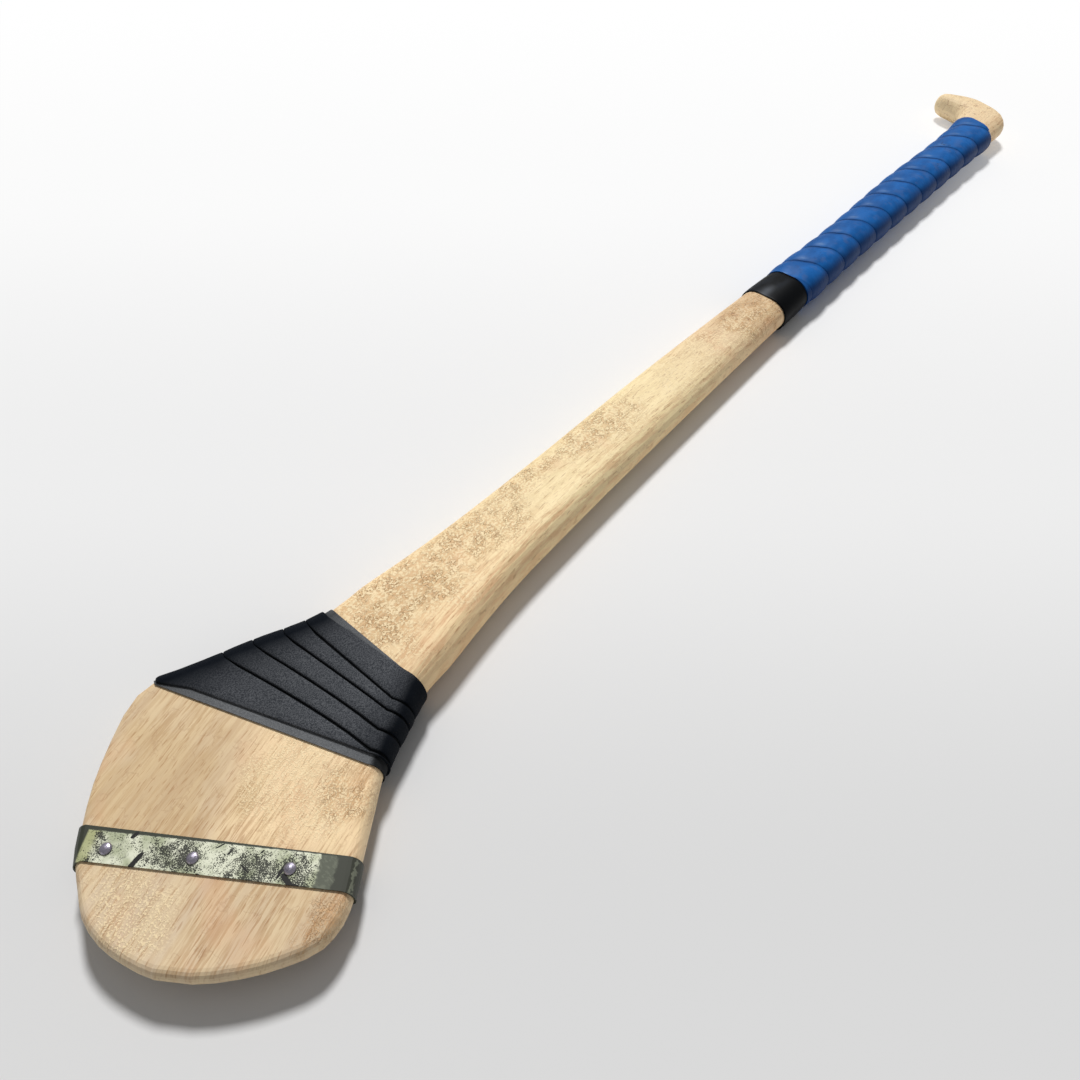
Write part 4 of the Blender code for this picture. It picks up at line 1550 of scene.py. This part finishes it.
@dataclass
class HandleGrip:
    """The cushioned grip: a wide strip wound up the handle, each turn lapped on the last.

    The shares say where its outside is shaped, from the strip's lower edge to where the next
    turn covers it. The covered shares go on from there to its upper edge.
    """

    shape: StickShape
    finish: Finish = GripFinish("blue_rubber", roughness=0.42, gloss=0.08)
    seat: float = 0.00035
    lap: float = 0.00108
    thin_edge: float = 0.00022
    valley: float = 0.00130
    crown: float = 0.00130
    flute_power: float = 0.65
    covered_height: float = 0.00085
    lap_end: float = 0.009
    start_height: float = 0.0013
    start_rise: tuple[float, float] = (-0.002, 0.012)
    end_share: float = 0.45
    end_rounding: float = 0.0016
    turns: float = 12.37
    growth: float = 0.009
    first_station: float = 8.0
    lead: float = 26.0
    overlap: float = 0.0030
    least_width: float = 0.1
    end: float = 0.0612
    run: float = 0.3350
    start_slant: float = 0.165
    end_slant: float = 0.40
    shares: tuple = (
        0, 0.01, 0.025, 0.05, 0.09, 0.14, 0.20, 0.31, 0.44, 0.57, 0.70, 0.81, 0.89, 0.94, 0.98, 1,
    )
    covered_shares: tuple = (0.15, 0.45, 1.0)
    shown_end: float = 0.0004
    groove_reach: float = 0.0048
    edge_reach: float = 0.0016
    gleam_around: tuple[float, float] = (4.9, 0.85)
    gleam_along: tuple[float, float] = (0.0036, 0.0013)
    cut_width: float = 0.0011
    worn_grooves: tuple[float, float, float] = (6.5, 8.8, 0.55)
    toe_shade: tuple[float, float, float] = (8.8, 10.8, 0.85)
    heel_shade: tuple[float, float, float] = (5.6, 3.2, 0.30)
    rubbed_corner: tuple[float, float] = (8.0, 1.3)

    def build(self) -> None:
        """Make the wound grip."""
        piece = skin("cushion_grip", self.sections(), Ends.CAPPED, 70.0)
        settle(piece, self.finish, "grip_rubber", "grip")

    def edge(self, turn: float) -> float:
        """Return how far up the handle the grip's lower edge lies after some turns."""
        growth = 1 + self.growth * (turn - self.turns)
        return self.shape.length - self.end - self.run + turn * growth * self.run / self.turns

    def inner_lift(self, along: float) -> float:
        """Return the strip's underside over the wood, by the way from its lower edge."""
        lapped = 1 - smooth_step(along, self.overlap, self.lap_end)
        return self.seat + (self.lap - self.seat) * lapped

    def outer_lift(self, share: float, along: float, from_start: float, to_end: float) -> float:
        """Find the strip's outside over the wood.

        Args:
            share: The place between the turn's lower edge, 0, and the next turn's, 1.
            along: The way from the strip's lower edge.
            from_start: The way from the grip's start at the ring.
            to_end: The way to the grip's cut end at the knob.

        Returns:
            The height over the wood.
        """
        if share > 1.0:
            return self.covered_height
        flute = self.valley + self.crown * math.sin(math.pi * share) ** self.flute_power
        thinned = mix(self.start_height, flute, smooth_step(from_start, *self.start_rise))
        rounded = mix(self.end_share, 1.0, math.sqrt(limit(to_end / self.end_rounding)))
        return max(thinned * rounded, self.inner_lift(along) + self.thin_edge)

    def sections(self) -> Iterator[Section]:
        """Wind the strip, from before its first station, where it widens, to its end.

        Yields:
            Each cross-section that is wide enough.
        """
        top = self.shape.length - self.end
        last = self.first_station + self.turns * RING
        for station in stations(self.first_station - self.lead, last):
            turn = (station - self.first_station) / RING
            low_edge, next_edge = self.edge(turn), self.edge(turn + 1)
            start = self.shape.slanted(top - self.run, station, self.start_slant)
            stop = self.shape.slanted(top, station, self.end_slant)
            low, high = max(low_edge, start), min(next_edge + self.overlap, stop)
            if high - low >= self.least_width * (next_edge + self.overlap - low_edge):
                yield self.section(station, (low, high), (low_edge, next_edge), (start, stop))

    def section(
        self,
        station: float,
        strip: tuple[float, float],
        edges: tuple[float, float],
        ends: tuple[float, float],
    ) -> Section:
        """Make one cross-section of the strip.

        Args:
            station: Where round the handle the section stands.
            strip: Where its lower and upper edges lie along the handle.
            edges: Where the turn's own lower edge and the next one's lie, if nothing cuts them.
            ends: Where the grip's slanted start and end lie.

        Returns:
            The section.
        """
        (low, high), (low_edge, next_edge), (start, stop) = strip, edges, ends
        number, ring = station % RING, ring_of(station)
        shown = min(next_edge, high - self.shown_end)
        xs = [mix(low, shown, share) for share in self.shares]
        xs += [mix(shown, high, share) for share in self.covered_shares]
        points, grooves, gleams, cuts = [], [], [], []
        for x in np.linspace(low, high, len(xs)):
            points.append(self.shape.shaft_point(x, station, self.inner_lift(x - low_edge)))
        # Painted groove shade, fainter towards the toe side.
        faded = 1 - ramp(ring, *self.worn_grooves)
        for x in reversed(xs):
            along = x - low_edge
            lift = self.outer_lift(along / (next_edge - low_edge), along, x - start, stop - x)
            points.append(self.shape.shaft_point(x, station, lift))
            below_next = 1 - smooth_step(next_edge - x, 0.0, self.groove_reach)
            own_edge = 1 - smooth_step(along, 0.0, self.edge_reach)
            grooves.append(max(below_next if next_edge < stop else 0.0, own_edge) * faded)
            # Painted highlights just above the turn's lower edge on the heel side, and a painted
            # highlight along the cut end.
            gleams.append(bell(number, *self.gleam_around) * bell(along, *self.gleam_along))
            cuts.append(1.0 if stop - x < self.cut_width else 0.0)
        # Painted shade on the toe side and the heel side.
        shaded = ramp(ring, *self.toe_shade)
        if number <= TOE_EDGE:
            shaded = max(shaded, ramp(number, *self.heel_shade))
        under = len(xs)
        return points, {
            "groove": [1.0] * under + grooves,
            "gleam": [0.0] * under + gleams,
            "cut_end": [0.0] * under + cuts,
            "corner": [bell(ring, *self.rubbed_corner)] * len(points),
            "shaded": [shaded] * len(points),
        }


@dataclass
class FinishingRing:
    """The black tape that ends the grip, lapped once over its own start."""

    shape: StickShape
    finish: Finish = GlossTapeFinish("black_gloss_tape", roughness=0.40, gloss=0.05)
    upper: float = 0.4925
    width: float = 0.0302
    slant: float = 0.165
    seat: float = 0.0003
    thickness: float = 0.0006
    crown: float = 1.30
    lap_gap: float = 0.0002
    start: float = 15.0
    climb: tuple[float, float] = (37.0, 38.5)
    end: float = 42.0
    profile: tuple = (
        (0.0, 0.0), (0.25, 0.0), (0.50, 0.0), (0.75, 0.0), (1.0, 0.0),
        (1.0, 0.60), (0.99, 0.93), (0.96, 1.05), (0.80, crown), (0.50, crown),
        (0.25, crown), (0.04, 1.05), (0.01, 0.93), (0.0, 0.60),
    )
    gleam_around: tuple[float, float] = (5.6, 0.7)
    gleam_across: tuple[float, float, float] = (0.45, 0.80, 0.8)
    toe_side: tuple[float, float] = (6.4, 7.6)

    def build(self) -> None:
        """Make the ring."""
        piece = skin("black_tape_ring", map(self.section, stations(self.start, self.end)), Ends.CAPPED)
        settle(piece, self.finish, "finishing_plastic", "finishing_tape")

    def section(self, station: float) -> Section:
        """Make one cross-section of the tape.

        Args:
            station: The station round the handle.

        Returns:
            The section.
        """
        climb = smooth_step(station, *self.climb) * (self.thickness * self.crown + self.lap_gap)
        number = station % RING
        # The marks paint a highlight near the lower edge on the heel side, and shade on the toe side.
        row, gleams = [], []
        for across, rise in self.profile:
            x = self.shape.slanted(self.upper - self.width * across, station, self.slant)
            lift = self.seat + climb + rise * self.thickness
            row.append(self.shape.shaft_point(x, station, lift))
            gleams.append(bell(number, *self.gleam_around) * ramp(across, *self.gleam_across))
        return row, {"gleam": gleams, "toe_side": [smooth_step(number, *self.toe_side)] * len(row)}


# The studio


@dataclass
class Studio:
    """The floor, the lights and the camera."""

    floor: Finish = FloorFinish("studio_floor", roughness=0.9, gloss=0.1)
    floor_half_size: float = 6.0
    camera_place: Point = (-0.41818, -0.16615, 0.28413)
    camera_turn: float = math.radians(39.4)
    camera_pitch: float = math.radians(47.0)
    focal_length: float = 27.07
    sensor_width: float = 36.0
    nearest_seen: float = 0.01
    key_direction: Point = (0.62, 0.51, 1.00)
    key_strength: float = 2.85
    key_angle: float = math.radians(10.0)
    fill_strength: float = 0.25

    def build(self) -> None:
        """Set up the studio."""
        self.build_floor()
        self.build_lights()
        self.build_camera()

    def add(self, name: str, data: bpy.types.ID) -> bpy.types.Object:
        """Put a new object in the scene.

        Args:
            name: Its name.
            data: Its mesh, lamp or camera.

        Returns:
            The object.
        """
        item = bpy.data.objects.new(name, data)
        bpy.context.scene.collection.objects.link(item)
        return item

    def build_floor(self) -> None:
        """Lay the floor."""
        half = self.floor_half_size
        corners = [(-half, -half, 0.0), (half, -half, 0.0), (half, half, 0.0), (-half, half, 0.0)]
        mesh = bpy.data.meshes.new("floor")
        mesh.from_pydata(corners, [], [(0, 1, 2, 3)])
        mesh.materials.append(self.floor.material())
        floor = self.add("floor", mesh)
        floor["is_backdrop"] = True

    def build_lights(self) -> None:
        """Hang the key light and the even fill, which is a white background to the camera."""
        lamp = bpy.data.lights.new("key", "SUN")
        lamp.energy = self.key_strength
        lamp.angle = self.key_angle
        key = self.add("key", lamp)
        key.rotation_euler = Vector(self.key_direction).to_track_quat("Z", "Y").to_euler()
        world = bpy.data.worlds.new("studio")
        world.use_nodes = True
        sheet = Sheet(world.node_tree)
        background = world.node_tree.nodes["Background"]
        seen = sheet.add("LightPath", output="Is Camera Ray")
        sheet.feed(background.inputs["Color"], (1.0, 1.0, 1.0, 1.0))
        strength = seen * (1.0 - self.fill_strength) + self.fill_strength
        sheet.feed(background.inputs["Strength"], strength)
        bpy.context.scene.world = world

    def build_camera(self) -> None:
        """Set up the camera at the photograph's angle."""
        data = bpy.data.cameras.new("camera")
        data.lens = self.focal_length
        data.sensor_width = self.sensor_width
        data.clip_start = self.nearest_seen
        camera = self.add("camera", data)
        camera.location = self.camera_place
        level, drop = math.cos(self.camera_pitch), math.sin(self.camera_pitch)
        turn = (math.cos(self.camera_turn), math.sin(self.camera_turn))
        aim = Vector((turn[0] * level, turn[1] * level, -drop))
        camera.rotation_euler = aim.to_track_quat("-Z", "Y").to_euler()
        bpy.context.scene.camera = camera
        bpy.context.scene.view_settings.view_transform = "Standard"


def write_sizes() -> None:
    """Work out the boxes of the CAD model and of the dressed one, without keeping them."""
    boxes = {"cad": CAD_BOX, "visual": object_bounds()}
    {name: [list(corner) for corner in box] for name, box in boxes.items()}


def main() -> None:
    """Dress the hurley and set up its studio."""
    logging.basicConfig(level=logging.INFO, format="%(message)s")
    shape = StickShape()
    for part in (AshStick(), ToeBand(), ShoulderWrap(shape), HandleGrip(shape), FinishingRing(shape)):
        part.build()
    Studio().build()
    write_sizes()


if __name__ == "__main__":
    main()
